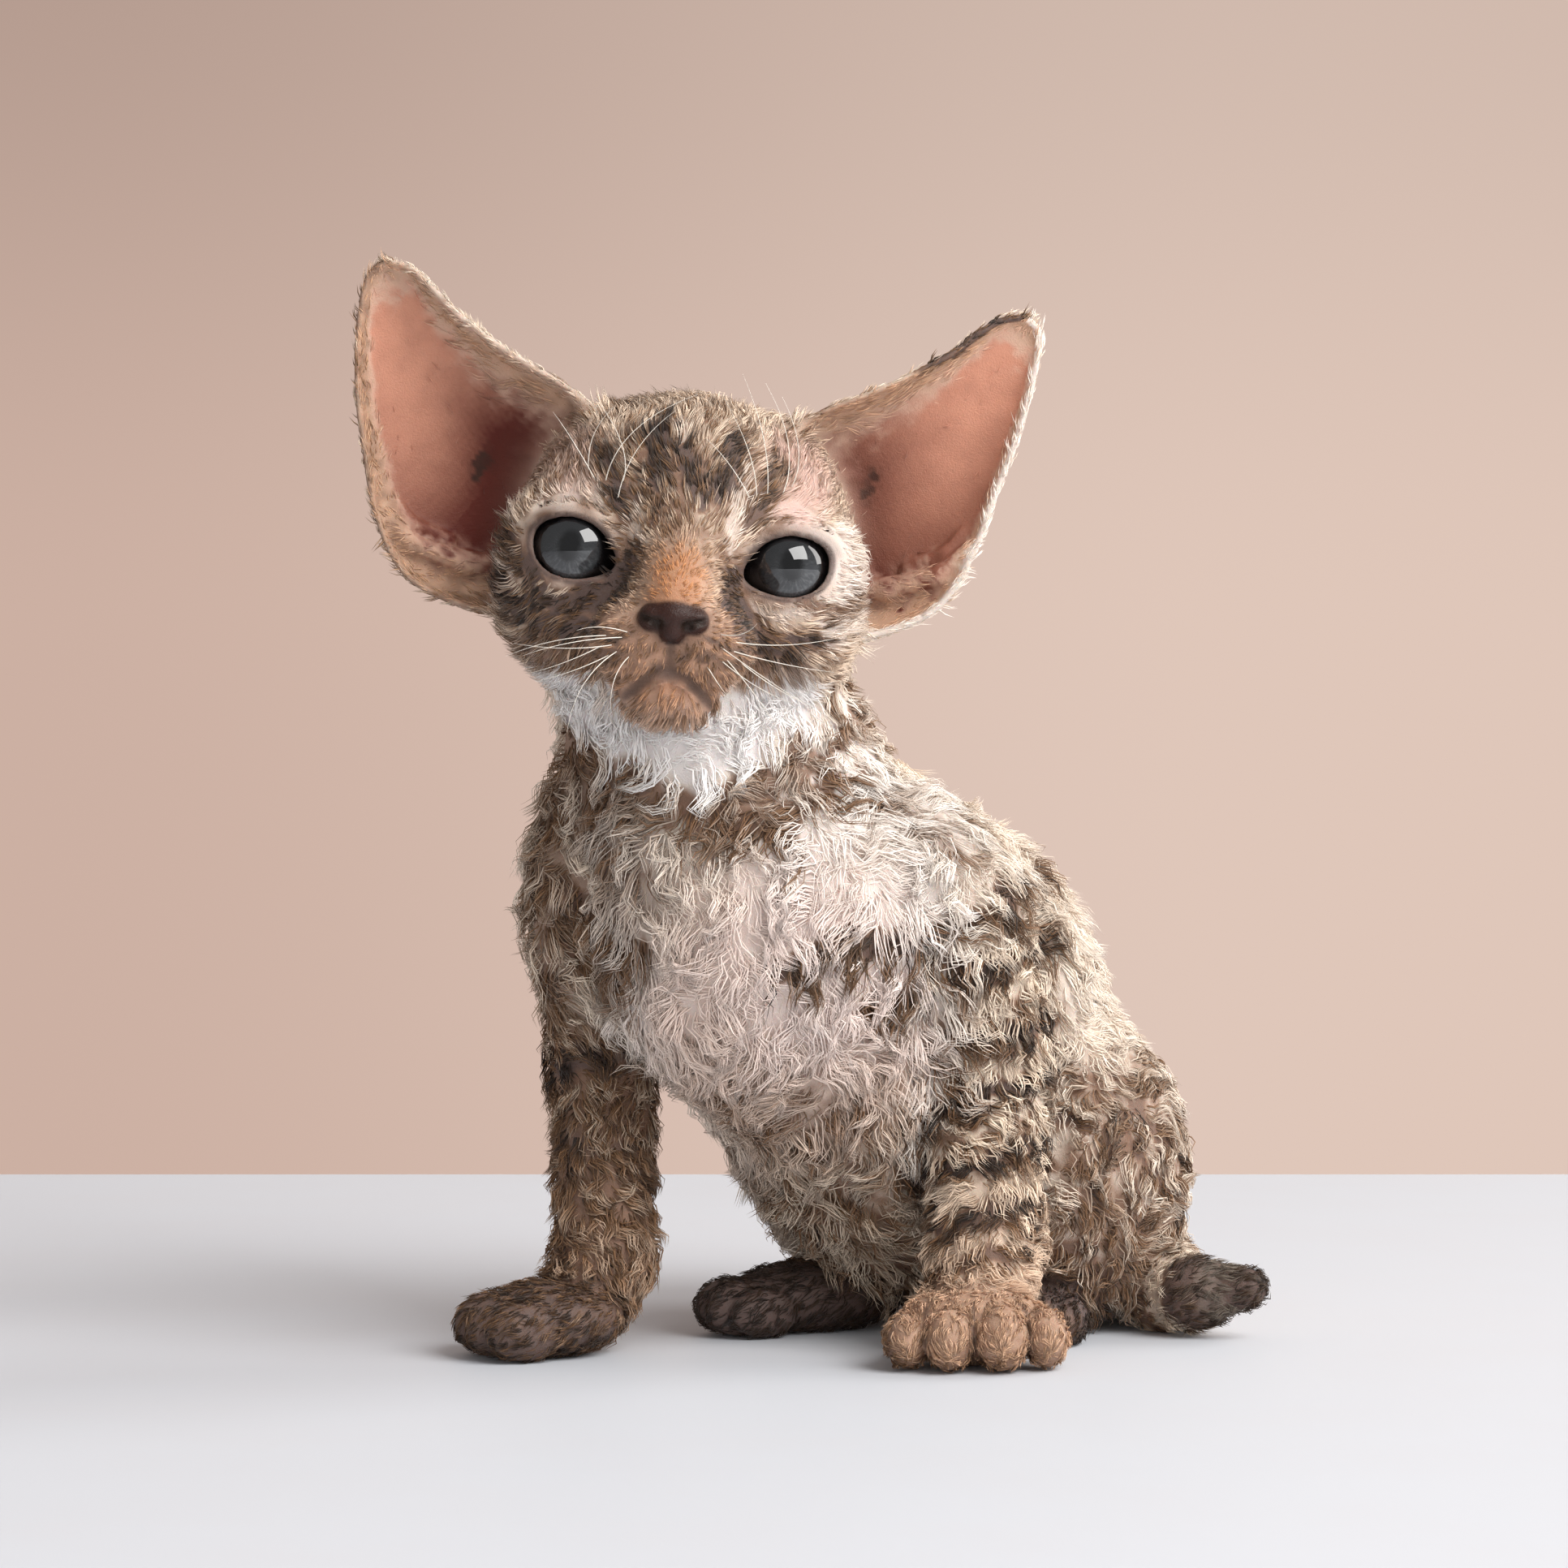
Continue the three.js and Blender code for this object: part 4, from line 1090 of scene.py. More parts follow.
# Dark specks deep in the ears, as place up the cup, turn across it and size along and across
EAR_SPECKS = {
    "left": [(0.315, 1.2, 0.016, 0.06), (0.285, 1.3, 0.012, 0.06), (0.27, 1.34, 0.01, 0.04)],
    "right": [(0.355, 1.44, 0.014, 0.1), (0.34, 1.54, 0.012, 0.06), (0.33, 1.36, 0.01, 0.04)],
}


def on_ears(points):
    """Whether each point is nearer the left ear, and its place up and across the cup and side of it"""
    near = [e.nearest(points) for e in ears().values()]
    left = near[0][0] < near[1][0]
    _, t, turn, front = (np.where(left, a, b) for a, b in zip(*near))
    return left, t, turn, front


def ear_marks_and_shade(points, flecks):
    """Furred fawn behind and along the rims, bare peach in front, and red with specks and painted shade deep
    in the cup
    """
    left, t, turn, front = on_ears(points)
    ragged = 0.035 * flecks
    behind = smooth(0.2, -0.3, front)

    # Where fur grows on the front of the cup
    inner_band = smooth(1.0, 0.35, turn + 1.6 * ragged)
    outer_band = np.where(left, smooth(2.75, 2.95, turn + ragged), smooth(2.4, 2.7, turn + ragged))
    tip = smooth(0.84, 0.95, t + 0.4 * ragged)
    lobe = smooth(0.37, 0.26, t + ragged) * smooth(1.95, 2.5, turn + 2 * ragged)
    lobe = np.maximum(lobe, smooth(0.14, 0.06, t + 0.3 * ragged) * smooth(1.2, 1.7, turn))
    bare = smooth(0.0, 0.4, front) * (1 - np.maximum.reduce([inner_band, outer_band, tip, lobe]))

    # The bare skin reddens and darkens towards the root and the lower outer edge: partly its own red, partly
    # painted shade in the depth of the cup
    from_middle = np.abs(turn - 1.2)
    deep = smooth(0.74, 0.2, t + 0.17 * from_middle)
    root = smooth(0.46, 0.08, t + 0.18 * from_middle)
    edge = smooth(1.6, 2.6, turn) * smooth(0.8, 0.4, t)
    specks = np.where(left, *[
        sum(np.exp(-((t - a) / p) ** 2 - ((turn - b) / q) ** 2) for a, b, p, q in EAR_SPECKS[name])
        for name in SIDES
    ])

    # A brown line on the left ear's upper rim, and pale hairs on its outer and the right ear's upper rim
    upper_rim = smooth(0.3, 0.1, turn)
    brown_line = left * upper_rim * smooth(0.5, 0.62, t)
    pale = np.where(left, smooth(2.93, 3.05, turn), 0.35 * upper_rim * smooth(0.95, 0.8, t))
    fawn = 0.08 + 0.08 * flecks * (1 - 0.6 * behind) + 0.26 * behind
    fawn = fawn + 0.26 * smooth(0.4, 0.15, t) * inner_band
    fawn = fawn + np.where(left, 0.0, 0.24) * outer_band
    coat = (1 - bare) * (1 - pale)
    return {
        "dark": np.clip(fawn * coat + 0.85 * brown_line + 0.45 * bare * deep, 0, 1),
        "tan": np.clip(0.7 * coat * (1 - behind) + 0.25 * bare * edge, 0, 1),
        "white": 0.45 * pale,
        "peach": bare,
        "red": bare * np.clip(np.where(left, 0.85, 1.25) * deep + 0.5 * edge + 0.06, 0, 1),
        "tip": np.clip(specks * 1.6 + np.where(left, 0.5, 0.85) * root, 0, 1) * bare,
    }


def rims(q):
    """Mauve leather on the upper lids, nose and lips, the dark edges of lids and mouth, and painted shade in
    the nostrils and the mouth's gap
    """
    sizes = bpy.context.scene.kitten_sizes
    total = np.zeros(len(q))
    edge = np.zeros(len(q))
    for side in SIDES.values():
        e = eye_frame(side).local(q)
        off = lengths(e) - sizes.eye_radius / MM
        opening = eye_opening(e, side, sizes)
        near = smooth(3.0, 1.6, off) * (e[:, 2] > 0)
        edge = np.maximum(edge, smooth(0.95, 0.45, opening) * near)
        above = smooth(2.3, 1.2, opening) * smooth(-0.5, 2, e[:, 1])
        total = np.maximum(total, 0.5 * above * near)
    features = face_features()
    nose = smooth(0.7, 0.1, features["nose"](q))
    mouth = smooth(0.75, 0.1, features["mouth"](q))
    line = smooth(0.7, 0.1, features["philtrum"](q))
    # Painted shade: the nostrils and the mouth's gap are coloured dark inside their openings
    nostrils = smooth(0.55, 0.0, features["nostrils"](q))
    gap = smooth(0.8, 0.0, features["gap"](q))
    dark = np.maximum.reduce([edge, nostrils, gap, 0.7 * mouth, 0.55 * line])
    return np.maximum.reduce([total, nose, 0.5 * mouth, 0.7 * line]), dark


# Coat

# How far under the skin each tuft is rooted, in millimetres
SUNK = 0.35


def head_lie(points):
    """Away from the nose, and down behind the head"""
    q = HEAD.local(points)
    from_nose = q - np.array([0, -44, -7])
    from_nose[:, 2] += 2 * smooth(-18, -26, q[:, 2])
    behind = smooth(12, 26, q[:, 1])[:, None]
    return (unit(from_nose) * (1 - behind) - UP * behind) @ HEAD.axes.T


def trunk_lie(points):
    back = BODY.way((0, 1, 0))
    body = BODY.local(points)
    ahead = smooth(-20, -50, body[:, 1])
    return back * (0.75 - 0.6 * ahead)[:, None] - UP * 0.8


def leg_lie(points):
    return np.broadcast_to(-UP, points.shape) + np.array([0.1, -0.1, 0])


def foot_lie(points):
    """Forward and down, as the nearest foot points"""
    best = np.full(len(points), FAR)
    way = np.zeros((len(points), 3))
    for foot in FEET.values():
        off = lengths(foot["place"].local(points))
        closer = off < best
        best = np.where(closer, off, best)
        way[closer] = foot["place"].way((0, -1, -0.5))
    return way


def tail_lie(points):
    return tail_run(points)[1]


def ear_lie(points):
    """Towards the tip on the upper ear and outwards on the lobe"""
    q = HEAD.local(points)
    side = np.sign(q[:, 0])
    tips = np.stack([side * 53, np.zeros(len(q)), np.full(len(q), 47.0)], axis=1)
    to_tip = tips - q * np.array([1, 0, 1])
    outwards = np.stack([side * 20, np.zeros(len(q)), np.full(len(q), 3.0)], axis=1)
    upper = smooth(-2, 12, q[:, 2])[:, None]
    return (to_tip * upper + outwards * (1 - upper)) @ HEAD.axes.T


def even(points):
    """Length and lift of fur that is the same all over a part"""
    return 1.0, 1.0


def head_grade(points):
    """Length and lift of the fur on the head: short by nose and eyes, long on crown, jowls and throat"""
    q = HEAD.local(points)
    from_nose = lengths(q - np.array([0, -38, -9]))
    crown = smooth(14, 27, q[:, 2])
    chin = smooth(-16, -22, q[:, 2])
    jowl = smooth(21, 28, np.abs(q[:, 0])) * smooth(12, 4, q[:, 2])
    from_eye = lengths(np.abs(q * np.array([1, 0, 0])) + q * np.array([0, 1, 1]) - np.array(EYE_AT))
    by_eye = 0.6 + 0.4 * smooth(8, 12, from_eye)
    long = 0.42 + 0.85 * smooth(5, 30, from_nose) + 0.3 * crown + 0.25 * chin + 0.6 * jowl
    return long * by_eye, (0.8 + 1.3 * crown + 0.6 * chin + 1.6 * jowl) * by_eye


def ear_grade(points):
    """Length and lift of the fur on the ears: long where the cup meets the head"""
    _, t, turn, _ = on_ears(points)
    rim = np.maximum.reduce([smooth(0.5, 0.1, turn), smooth(2.7, 3.0, turn), smooth(0.86, 0.97, t)])
    by_head = smooth(1.15, 0.7, turn) * smooth(0.1, 0.4, turn) * smooth(0.75, 0.45, t)
    return 0.85 + 0.1 * rim + 0.75 * by_head, 0.8 - 0.15 * rim + 0.5 * by_head


def trunk_grade(points):
    """Curls that shorten and lie flatter towards the throat and low on the left haunch"""
    short = smooth(88, 99, points[:, 2]) + smooth(30, 42, points[:, 0]) * smooth(64, 50, points[:, 2])
    return 1 - 0.38 * short, 1 - 0.3 * short


class Kind(NamedTuple):
    """The tufts and locks of one kind of fur; widths in millimetres, and waves along a tuft"""

    rings: int
    strands_in_lock: int
    lock_width: float
    lock_pull: float
    waves: float


KINDS = {
    "curl": Kind(rings=4, strands_in_lock=16, lock_width=3.3, lock_pull=0.66, waves=1.3),
    "wave": Kind(rings=3, strands_in_lock=11, lock_width=2.4, lock_pull=0.55, waves=1.1),
    "short": Kind(rings=2, strands_in_lock=5, lock_width=1.4, lock_pull=0.4, waves=0.5),
}


class Fur(NamedTuple):
    """How the fur of one part grows; lengths are shares of the kind's own length"""

    kind: str
    density: float
    lie: Callable
    long: float = 1.0
    lift: float = 0.4
    swirl: float = 0.0
    stray: float = 0.2
    wave: float = 0.0
    follows: bool = True
    grade: Callable = even


# Density is tufts in each square millimetre; lift is in millimetres and turns are in radians
FURS = {
    "trunk": Fur("curl", 1.58, trunk_lie, lift=2.2, swirl=0.7, stray=0.34, wave=0.95, grade=trunk_grade),
    "foreleg": Fur("wave", 2.6, leg_lie, lift=1.5, swirl=0.5, stray=0.35, wave=0.75),
    "foot": Fur("short", 3.0, foot_lie, 1.05, lift=0.6, stray=0.3),
    "tail": Fur("short", 2.8, tail_lie, 1.3, lift=0.8, swirl=0.25, stray=0.35),
    "head": Fur(
        "short", 3.3, head_lie, 1.25, lift=0.6, swirl=0.25, stray=0.22, follows=False, grade=head_grade
    ),
    "ear": Fur("short", 1.8, ear_lie, 1.0, lift=0.4, swirl=0.2, stray=0.3, follows=False, grade=ear_grade),
}
SWIRL = Ripples(31, 24)
SWEEP = Ripples(32, 10)
PHASE = Ripples(33, 13)
# Pieces of the coat, each with the place that its roots are nearest to
COAT_PIECES = {
    "trunk": {
        "coat_neck": (-10, -10, 92),
        "coat_neck_back": (0, 22, 96),
        "coat_chest": (-4, -26, 74),
        "coat_belly": (6, -14, 42),
        "coat_side_left": (36, 12, 58),
        "coat_side_right": (-30, 16, 58),
        "coat_back": (24, 42, 66),
        "coat_haunch_left": (56, 20, 26),
        "coat_haunch_right": (2, 40, 24),
        "coat_rump": (38, 54, 32),
    },
    "foreleg": {"coat_foreleg_left": (31, -3, 35), "coat_foreleg_right": (-29, 2, 35)},
    "foot": {"coat_forefeet": (-2, -15, 6), "coat_hindfeet": (26, 24, 6)},
    "tail": {"coat_tail": (60, 35, 8)},
    "head": {"coat_face": (-16, -30, 120), "coat_crown": (-14, 10, 135)},
    "ear": {"coat_ear_left": (25, -5, 140), "coat_ear_right": (-58, -5, 140)},
}
PIECE_LIMIT = 200000


def roots_on_skin(part, draw):
    """Places and normals for the tufts of one part"""
    points, normals, quads = skin_mesh()
    a, b, c, d = (points[quads[:, k]] for k in range(4))
    area = lengths(np.cross(c - a, d - b)) / 2
    cover = cover_of(part)[quads].mean(1)
    weight = area * cover * FURS[part].density * 1
    count = int(weight.sum())
    face = np.searchsorted(np.cumsum(weight), draw.uniform(0, weight.sum(), count))
    face = np.minimum(face, len(quads) - 1)
    u, v = draw.random((2, count, 1))
    corners = [(1 - u) * (1 - v), u * (1 - v), u * v, (1 - u) * v]
    at = sum(w * points[quads[face, k]] for k, w in enumerate(corners))
    out = unit(sum(w * normals[quads[face, k]] for k, w in enumerate(corners)))
    return at, out


@functools.cache
def skin_marks_and_shade():
    points, normals, _ = skin_mesh()
    return marks_and_shade(points, normals)


@functools.cache
def skin_shares():
    return shares(part_distances(skin_mesh()[0]))


@functools.cache
def cover_of(part):
    """How thickly each point of the skin is furred with the fur of a part"""
    points = skin_mesh()[0]
    share = skin_shares()
    main = np.stack([share[name] for name in FURS]).argmax(0) == list(FURS).index(part)
    coat, bare = skin_marks_and_shade()
    pink = coat[:, 2]
    tip, peach, _, mauve = bare.T
    thin = smooth(0.1, 0.45, mauve)
    naked = smooth(0.15, 0.75, peach)
    cover = main * (1 - thin) * (1 - 0.985 * naked)
    if part == "head":
        cover = cover * (1 - 0.5 * smooth(0.4, 0.9, pink)) * (1 - np.clip(4 * tip, 0, 1))
    return cover * smooth(0.4, 1.2, points[:, 2])


def locks(roots, kind, draw):
    """The tuft that each tuft's lock goes by, and how near the lock's middle each tuft grows"""
    count = len(roots)
    guides = draw.choice(count, max(1, count // kind.strands_in_lock), replace=False)
    tree = KDTree(len(guides))
    for i, g in enumerate(guides):
        tree.insert(roots[g], i)
    tree.balance()
    guide = guides[np.array([tree.find(p)[1] for p in roots])]
    return guide, 1 - smooth(0.1, 0.6, lengths(roots - roots[guide]) / kind.lock_width)


def centrelines(part, roots, normals, guide, central, draw):
    """Stations of each tuft from root to tip, and the way out of the skin at each"""
    fur = FURS[part]
    coat = bpy.context.scene.coat_sizes
    rings = KINDS[fur.kind].rings
    count = len(roots)
    shared = draw.normal(size=(3, count))[:, guide]
    own = draw.normal(size=(4, count))
    long, high = fur.grade(roots)
    reach = getattr(coat, fur.kind + "_length") / MM * fur.long * long
    reach = reach * np.clip(1 + 0.14 * shared[0] + 0.1 * own[0], 0.5, 1.5)
    stray = fur.stray * (shared[1] + 0.4 * own[1])
    phase = 2.2 * PHASE(roots) + 0.8 * shared[2] + 0.16 * own[2]
    wave = fur.wave * (0.75 + 0.25 * np.cos(3 * shared[1]))
    rise = fur.lift * high * (0.45 + 0.75 * central) * np.clip(1 + 0.2 * own[3], 0.4, 1.6)
    p = roots - normals * SUNK
    out = normals
    height = np.full(count, -SUNK)
    line, outs = [p], [out]
    for k in range(1, rings + 1):
        s = k / rings
        way = fur.lie(p)
        way = unit(way - out * dots(way, out)[:, None])
        side = np.cross(out, way)
        angle = fur.swirl * (SWIRL(p) + 0.6 * SWEEP(p)) + stray
        angle = angle + wave * np.cos(2 * math.pi * KINDS[fur.kind].waves * s + phase)
        heading = way * np.cos(angle)[:, None] + side * np.sin(angle)[:, None]
        p = p + heading * (reach / rings)[:, None]
        target = rise * (0.4 + 0.6 * s) * (1 + 0.35 * np.sin(2 * math.pi * s * 1.1 + phase))
        if fur.follows:
            off, out = field().at(p)
            p = p + out * (target - off)[:, None]
        else:
            p = p + out * (target - height)[:, None]
            height = target
        line.append(p)
        outs.append(out)
    return np.stack(line), np.stack(outs)


def into_locks(line, normals, guide, kind):
    """Draws the tufts of a lock together towards their tips"""
    alike = smooth(0.3, 0.8, dots(normals, normals[guide]))
    close = 1 - smooth(1.0, 1.6, lengths(line[0] - line[0, guide]) / kind.lock_width)
    for k in range(1, len(line)):
        pull = kind.lock_pull * (k / (len(line) - 1)) ** 1.3 * alike * close
        line[k] += (line[k, guide] - line[k]) * pull[:, None]
    return line


def tuft_mesh(line, outs, width, draw):
    """Three-sided tapered tufts: points as tufts x corners, and faces of one tuft"""
    rings = len(line) - 1
    taper = [0.85, *np.linspace(1.0, 0.55, rings - 1)]
    ways = unit(np.gradient(line, axis=0).reshape(-1, 3)).reshape(line.shape)
    roll = draw.normal(size=line.shape[1]) * 0.7
    corners = []
    for k in range(rings):
        side = unit(np.cross(ways[k], outs[k]))
        top = np.cross(side, ways[k])
        for j in range(3):
            angle = roll + 2 * math.pi * j / 3 + math.pi / 2
            ring = side * np.cos(angle)[:, None] + 0.75 * top * np.sin(angle)[:, None]
            corners.append(line[k] + ring * (width * taper[k] / 2)[:, None])
    corners.append(line[rings])
    sides = [
        (3 * k + j, 3 * k + (j + 1) % 3, 3 * k + 3 + (j + 1) % 3, 3 * k + 3 + j)
        for k in range(rings - 1)
        for j in range(3)
    ]
    last = 3 * rings
    tips = [(last - 3 + j, last - 3 + (j + 1) % 3, last) for j in range(3)]
    return np.stack(corners, axis=1), np.array(sides).reshape(-1, 4), np.array(tips)


# Size of one tuft in the texture square, and the empty edge round each side's share of it
TUFT_PATCH = 0.003
UV_MARGIN = 0.03


def unwrapped(points, normals):
    """Places in a square of points on the skin, unwrapped from a box round their piece of it"""
    low, high = points.min(0), points.max(0)
    inner = (points - low) / np.maximum(high - low, 1e-6).max()
    axis = np.abs(normals).argmax(1)
    ahead = normals[np.arange(len(normals)), axis] > 0
    u = np.choose(axis, [inner[:, 1], inner[:, 0], inner[:, 0]])
    v = np.choose(axis, [inner[:, 2], inner[:, 2], inner[:, 1]])
    u = (UV_MARGIN + u * (1 - 2 * UV_MARGIN) + axis) / 3
    v = (UV_MARGIN + v * (1 - 2 * UV_MARGIN) + ahead) / 2
    return np.stack([u, v], axis=1)


def add_coat_piece(name, part, points, normals, line, outs, tone, draw):
    """One piece of coat as a mesh, with its marks and painted shade and a place in the texture square for
    each tuft
    """
    kind = FURS[part].kind
    coat = bpy.context.scene.coat_sizes
    width = getattr(coat, kind + "_width") / MM * draw.uniform(0.7, 1.25, len(points))
    corners, sides, tips = tuft_mesh(line, outs, width, draw)
    count, each = corners.shape[:2]
    start = (np.arange(count) * each)[:, None, None]
    faces = [(start + tips).reshape(-1, 3)]
    if len(sides):
        faces.insert(0, (start + sides).reshape(-1, 4))
    piece = mesh_object(name, corners.reshape(-1, 3), faces)
    triangles = count * (2 * len(sides) + len(tips))
    if triangles >= PIECE_LIMIT:
        raise RuntimeError(f"{name} has {triangles} triangles, and a piece of coat has under {PIECE_LIMIT}")
    for key, row in zip(("coat_marks_and_shade", "bare_marks_and_shade"), marks_and_shade(points, normals)):
        add_attribute(piece, key, np.repeat(row, each, axis=0))
    rings = len(line) - 1
    along = np.append(np.repeat(np.arange(rings) / rings, 3), 1.0)
    strand = np.stack(
        [
            np.tile(along, count),
            np.repeat(draw.random(count), each),
            np.repeat(tone[:, 0], each),
            np.repeat(tone[:, 1], each),
        ],
        axis=1,
    )
    add_attribute(piece, "strand", strand)
    place = unwrapped(points, normals)
    spread = np.stack([np.append(np.tile([0, 0.5, 1], rings), 0.5), along], axis=1) * TUFT_PATCH
    uv = (place[:, None] + spread).reshape(-1, 2)
    layer = piece.data.uv_layers.new(name="OFBake")
    loops = np.concatenate([f.ravel() for f in faces])
    layer.uv.foreach_set("vector", uv[loops].astype(np.float32).ravel())
    return piece


def add_attribute(piece, name, values):
    attribute = piece.data.attributes.new(name, "FLOAT_COLOR", "POINT")
    attribute.data.foreach_set("color", values.astype(np.float32).ravel())


# Shader expressions

class Signal:
    """A node's output that takes part in Python sums"""

    def __init__(self, shader, socket):
        self.shader = shader
        self.socket = socket

    def math(self, operation, *values):
        return self.shader.node("ShaderNodeMath", {"operation": operation}, values)

    def __add__(self, other):
        return self.math("ADD", self, other)

    __radd__ = __add__

    def __mul__(self, other):
        return self.math("MULTIPLY", self, other)

    __rmul__ = __mul__

    def __sub__(self, other):
        return self.math("SUBTRACT", self, other)

    def __rsub__(self, other):
        return self.math("SUBTRACT", other, self)

    def between(self, low, high):
        """0 below low, 1 above high, and smooth between"""
        settings = {"interpolation_type": "SMOOTHSTEP"}
        return self.shader.node("ShaderNodeMapRange", settings, (self, low, high))


class Shader:
    """A material's nodes, made from expressions"""

    def __init__(self, name):
        self.material = bpy.data.materials.new(name)
        self.material.use_nodes = True
        self.tree = self.material.node_tree
        self.surface = self.tree.nodes["Principled BSDF"]

    def node(self, kind, settings=None, values=(), output=0):
        """One output of a new node, its sockets fed in order or by the numbers or names of a dict"""
        made = self.tree.nodes.new(kind)
        for key, value in (settings or {}).items():
            setattr(made, key, value)
        for key, value in values.items() if isinstance(values, dict) else enumerate(values):
            self.feed(made.inputs[key], value)
        return Signal(self, made.outputs[output])

    def feed(self, socket, value):
        if isinstance(value, Signal):
            self.tree.links.new(value.socket, socket)
        else:
            socket.default_value = value

    def split(self, kind, whole):
        """The three numbers of a colour or a place, one by one"""
        first = self.node(kind, None, (whole,))
        return [Signal(self, socket) for socket in first.socket.node.outputs]

    def attribute(self, name):
        """The red, green, blue and alpha of a colour attribute, one by one"""
        colour = self.node("ShaderNodeAttribute", {"attribute_name": name}, output="Color")
        alpha = Signal(self, colour.socket.node.outputs["Alpha"])
        return [*self.split("ShaderNodeSeparateColor", colour), alpha]

    def place(self):
        return self.node("ShaderNodeTexCoord", output="Object")

    def noise(self, scale, detail=3.0, place=None):
        values = {"Vector": place or self.place(), "Scale": scale, "Detail": detail}
        return self.node("ShaderNodeTexNoise", None, values)

    def mix(self, a, b, share, blend_type="MIX"):
        settings = {"data_type": "RGBA", "blend_type": blend_type}
        return self.node("ShaderNodeMix", settings, {0: share, 6: a, 7: b}, output=2)

    def grey(self, value):
        return self.node("ShaderNodeCombineColor", None, (value, value, value))

    def bump(self, height, distance, strength):
        values = {"Strength": strength, "Distance": distance, "Height": height}
        return self.node("ShaderNodeBump", None, values)

    def finish(self, **sockets):
        for key, value in sockets.items():
            self.feed(self.surface.inputs[key.replace("_", " ")], value)
        return self.material


def linear(colour):
    """A display colour as the light that it stands for"""
    light = [c / 12.92 if c <= 0.04045 else ((c + 0.055) / 1.055) ** 2.4 for c in colour]
    return (*light, 1.0)


def marked_and_shaded_colour(shader, colours, ticking_and_root_shade=0.0):
    """The coat's colours laid over one another by their shares, marks and painted shade alike"""
    dark, tan, pink, white = shader.attribute("coat_marks_and_shade")
    tip, peach, red, mauve = shader.attribute("bare_marks_and_shade")
    # Ticking, with painted shade towards the roots of the coat's strands, shifts the dark share
    dark = dark + ticking_and_root_shade
    colour = shader.mix(linear(colours.cream), linear(colours.white), white)
    colour = shader.mix(colour, linear(colours.pink), pink)
    colour = shader.mix(colour, linear(colours.tan), tan)
    colour = shader.mix(colour, linear(colours.taupe), dark.between(0.05, 0.7))
    colour = shader.mix(colour, linear(colours.dark), dark.between(0.55, 1.1))
    colour = shader.mix(colour, linear(colours.peach), peach)
    colour = shader.mix(colour, linear(colours.red), red)
    colour = shader.mix(colour, linear(colours.mauve), mauve)
    return shader.mix(colour, linear(colours.dark), tip * 0.85)


def skin_material(colours):
    shader = Shader("kitten_skin")
    colour = marked_and_shaded_colour(shader, colours)
    _, peach, red, mauve = shader.attribute("bare_marks_and_shade")
    furred = (1 - peach) * (1 - mauve)
    colour = shader.mix(colour, linear(colours.pink), furred * 0.15)
    # Painted shade: the skin under the fur is darkened as the coat above would shade it
    colour = shader.mix(colour, shader.grey(1 - furred * 0.22), 1.0, "MULTIPLY")
    blush = shader.noise(260, 4).between(0.35, 0.75)
    colour = shader.mix(colour, linear(colours.red), blush * peach * 0.16)
    down = shader.noise(2600, 2)
    pores = shader.noise(5200, 1)
    height = down * 0.6 + pores * 0.4
    return shader.finish(
        Base_Color=colour,
        Roughness=0.62 - mauve * 0.2 - peach * 0.05,
        Normal=shader.bump(height, 0.00025, 0.7),
        Subsurface_Weight=0.2,
        Subsurface_Radius=(1.0, 0.35, 0.2),
        Subsurface_Scale=0.002,
        Specular_IOR_Level=0.3,
    )


def coat_material(colours):
    shader = Shader("kitten_coat")
    along, chance, lock, central = shader.attribute("strand")
    white = shader.attribute("coat_marks_and_shade")[3]
    # Ticking varies at random by strand and by lock; the term in along is painted shade, darker towards the
    # roots
    ticking_and_root_shade = (chance - 0.5) * 0.24 + (lock - 0.5) * 0.4 + (0.3 - along) * 0.34
    colour = marked_and_shaded_colour(shader, colours, ticking_and_root_shade * (1 - white * 0.8))
    # Painted shade darker at the roots and painted light on each lock's middle, with a little random tone
    painted_shade_and_tone = along.between(-0.3, 0.7) * 0.2 + 0.86
    painted_shade_and_tone = painted_shade_and_tone * (chance * 0.08 + 0.97) * (central * 0.14 + 0.93)
    # White curls lose most of that painted shade and are lifted a little above their colour: painted light
    painted_shade_and_tone = painted_shade_and_tone + (1.06 - painted_shade_and_tone) * white * 0.8
    colour = shader.mix(colour, shader.grey(painted_shade_and_tone), 1.0, "MULTIPLY")
    return shader.finish(
        Base_Color=colour,
        Roughness=0.5,
        Specular_IOR_Level=0.3,
        Sheen_Weight=0.1,
        Sheen_Roughness=0.5,
    )


# Pieces

def finish_piece(piece, material, slot):
    piece.data.materials.append(material)
    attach(piece, "root")
    return piece


class KITTEN_OT_skin(bpy.types.Operator):
    """Makes one skin for the head, ears, neck, trunk, legs and tail"""

    bl_idname = "kitten.skin"
    bl_label = "Skin"

    def execute(self, context):
        points, _, quads = skin_mesh()
        piece = mesh_object("skin", points, quads)
        for key, row in zip(("coat_marks_and_shade", "bare_marks_and_shade"), skin_marks_and_shade()):
            add_attribute(piece, key, row)
        finish_piece(piece, skin_material(context.scene.kitten_colours), "body_coat")
        flesh = [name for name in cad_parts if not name.startswith("eye")]
        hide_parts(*flesh)
        return {"FINISHED"}


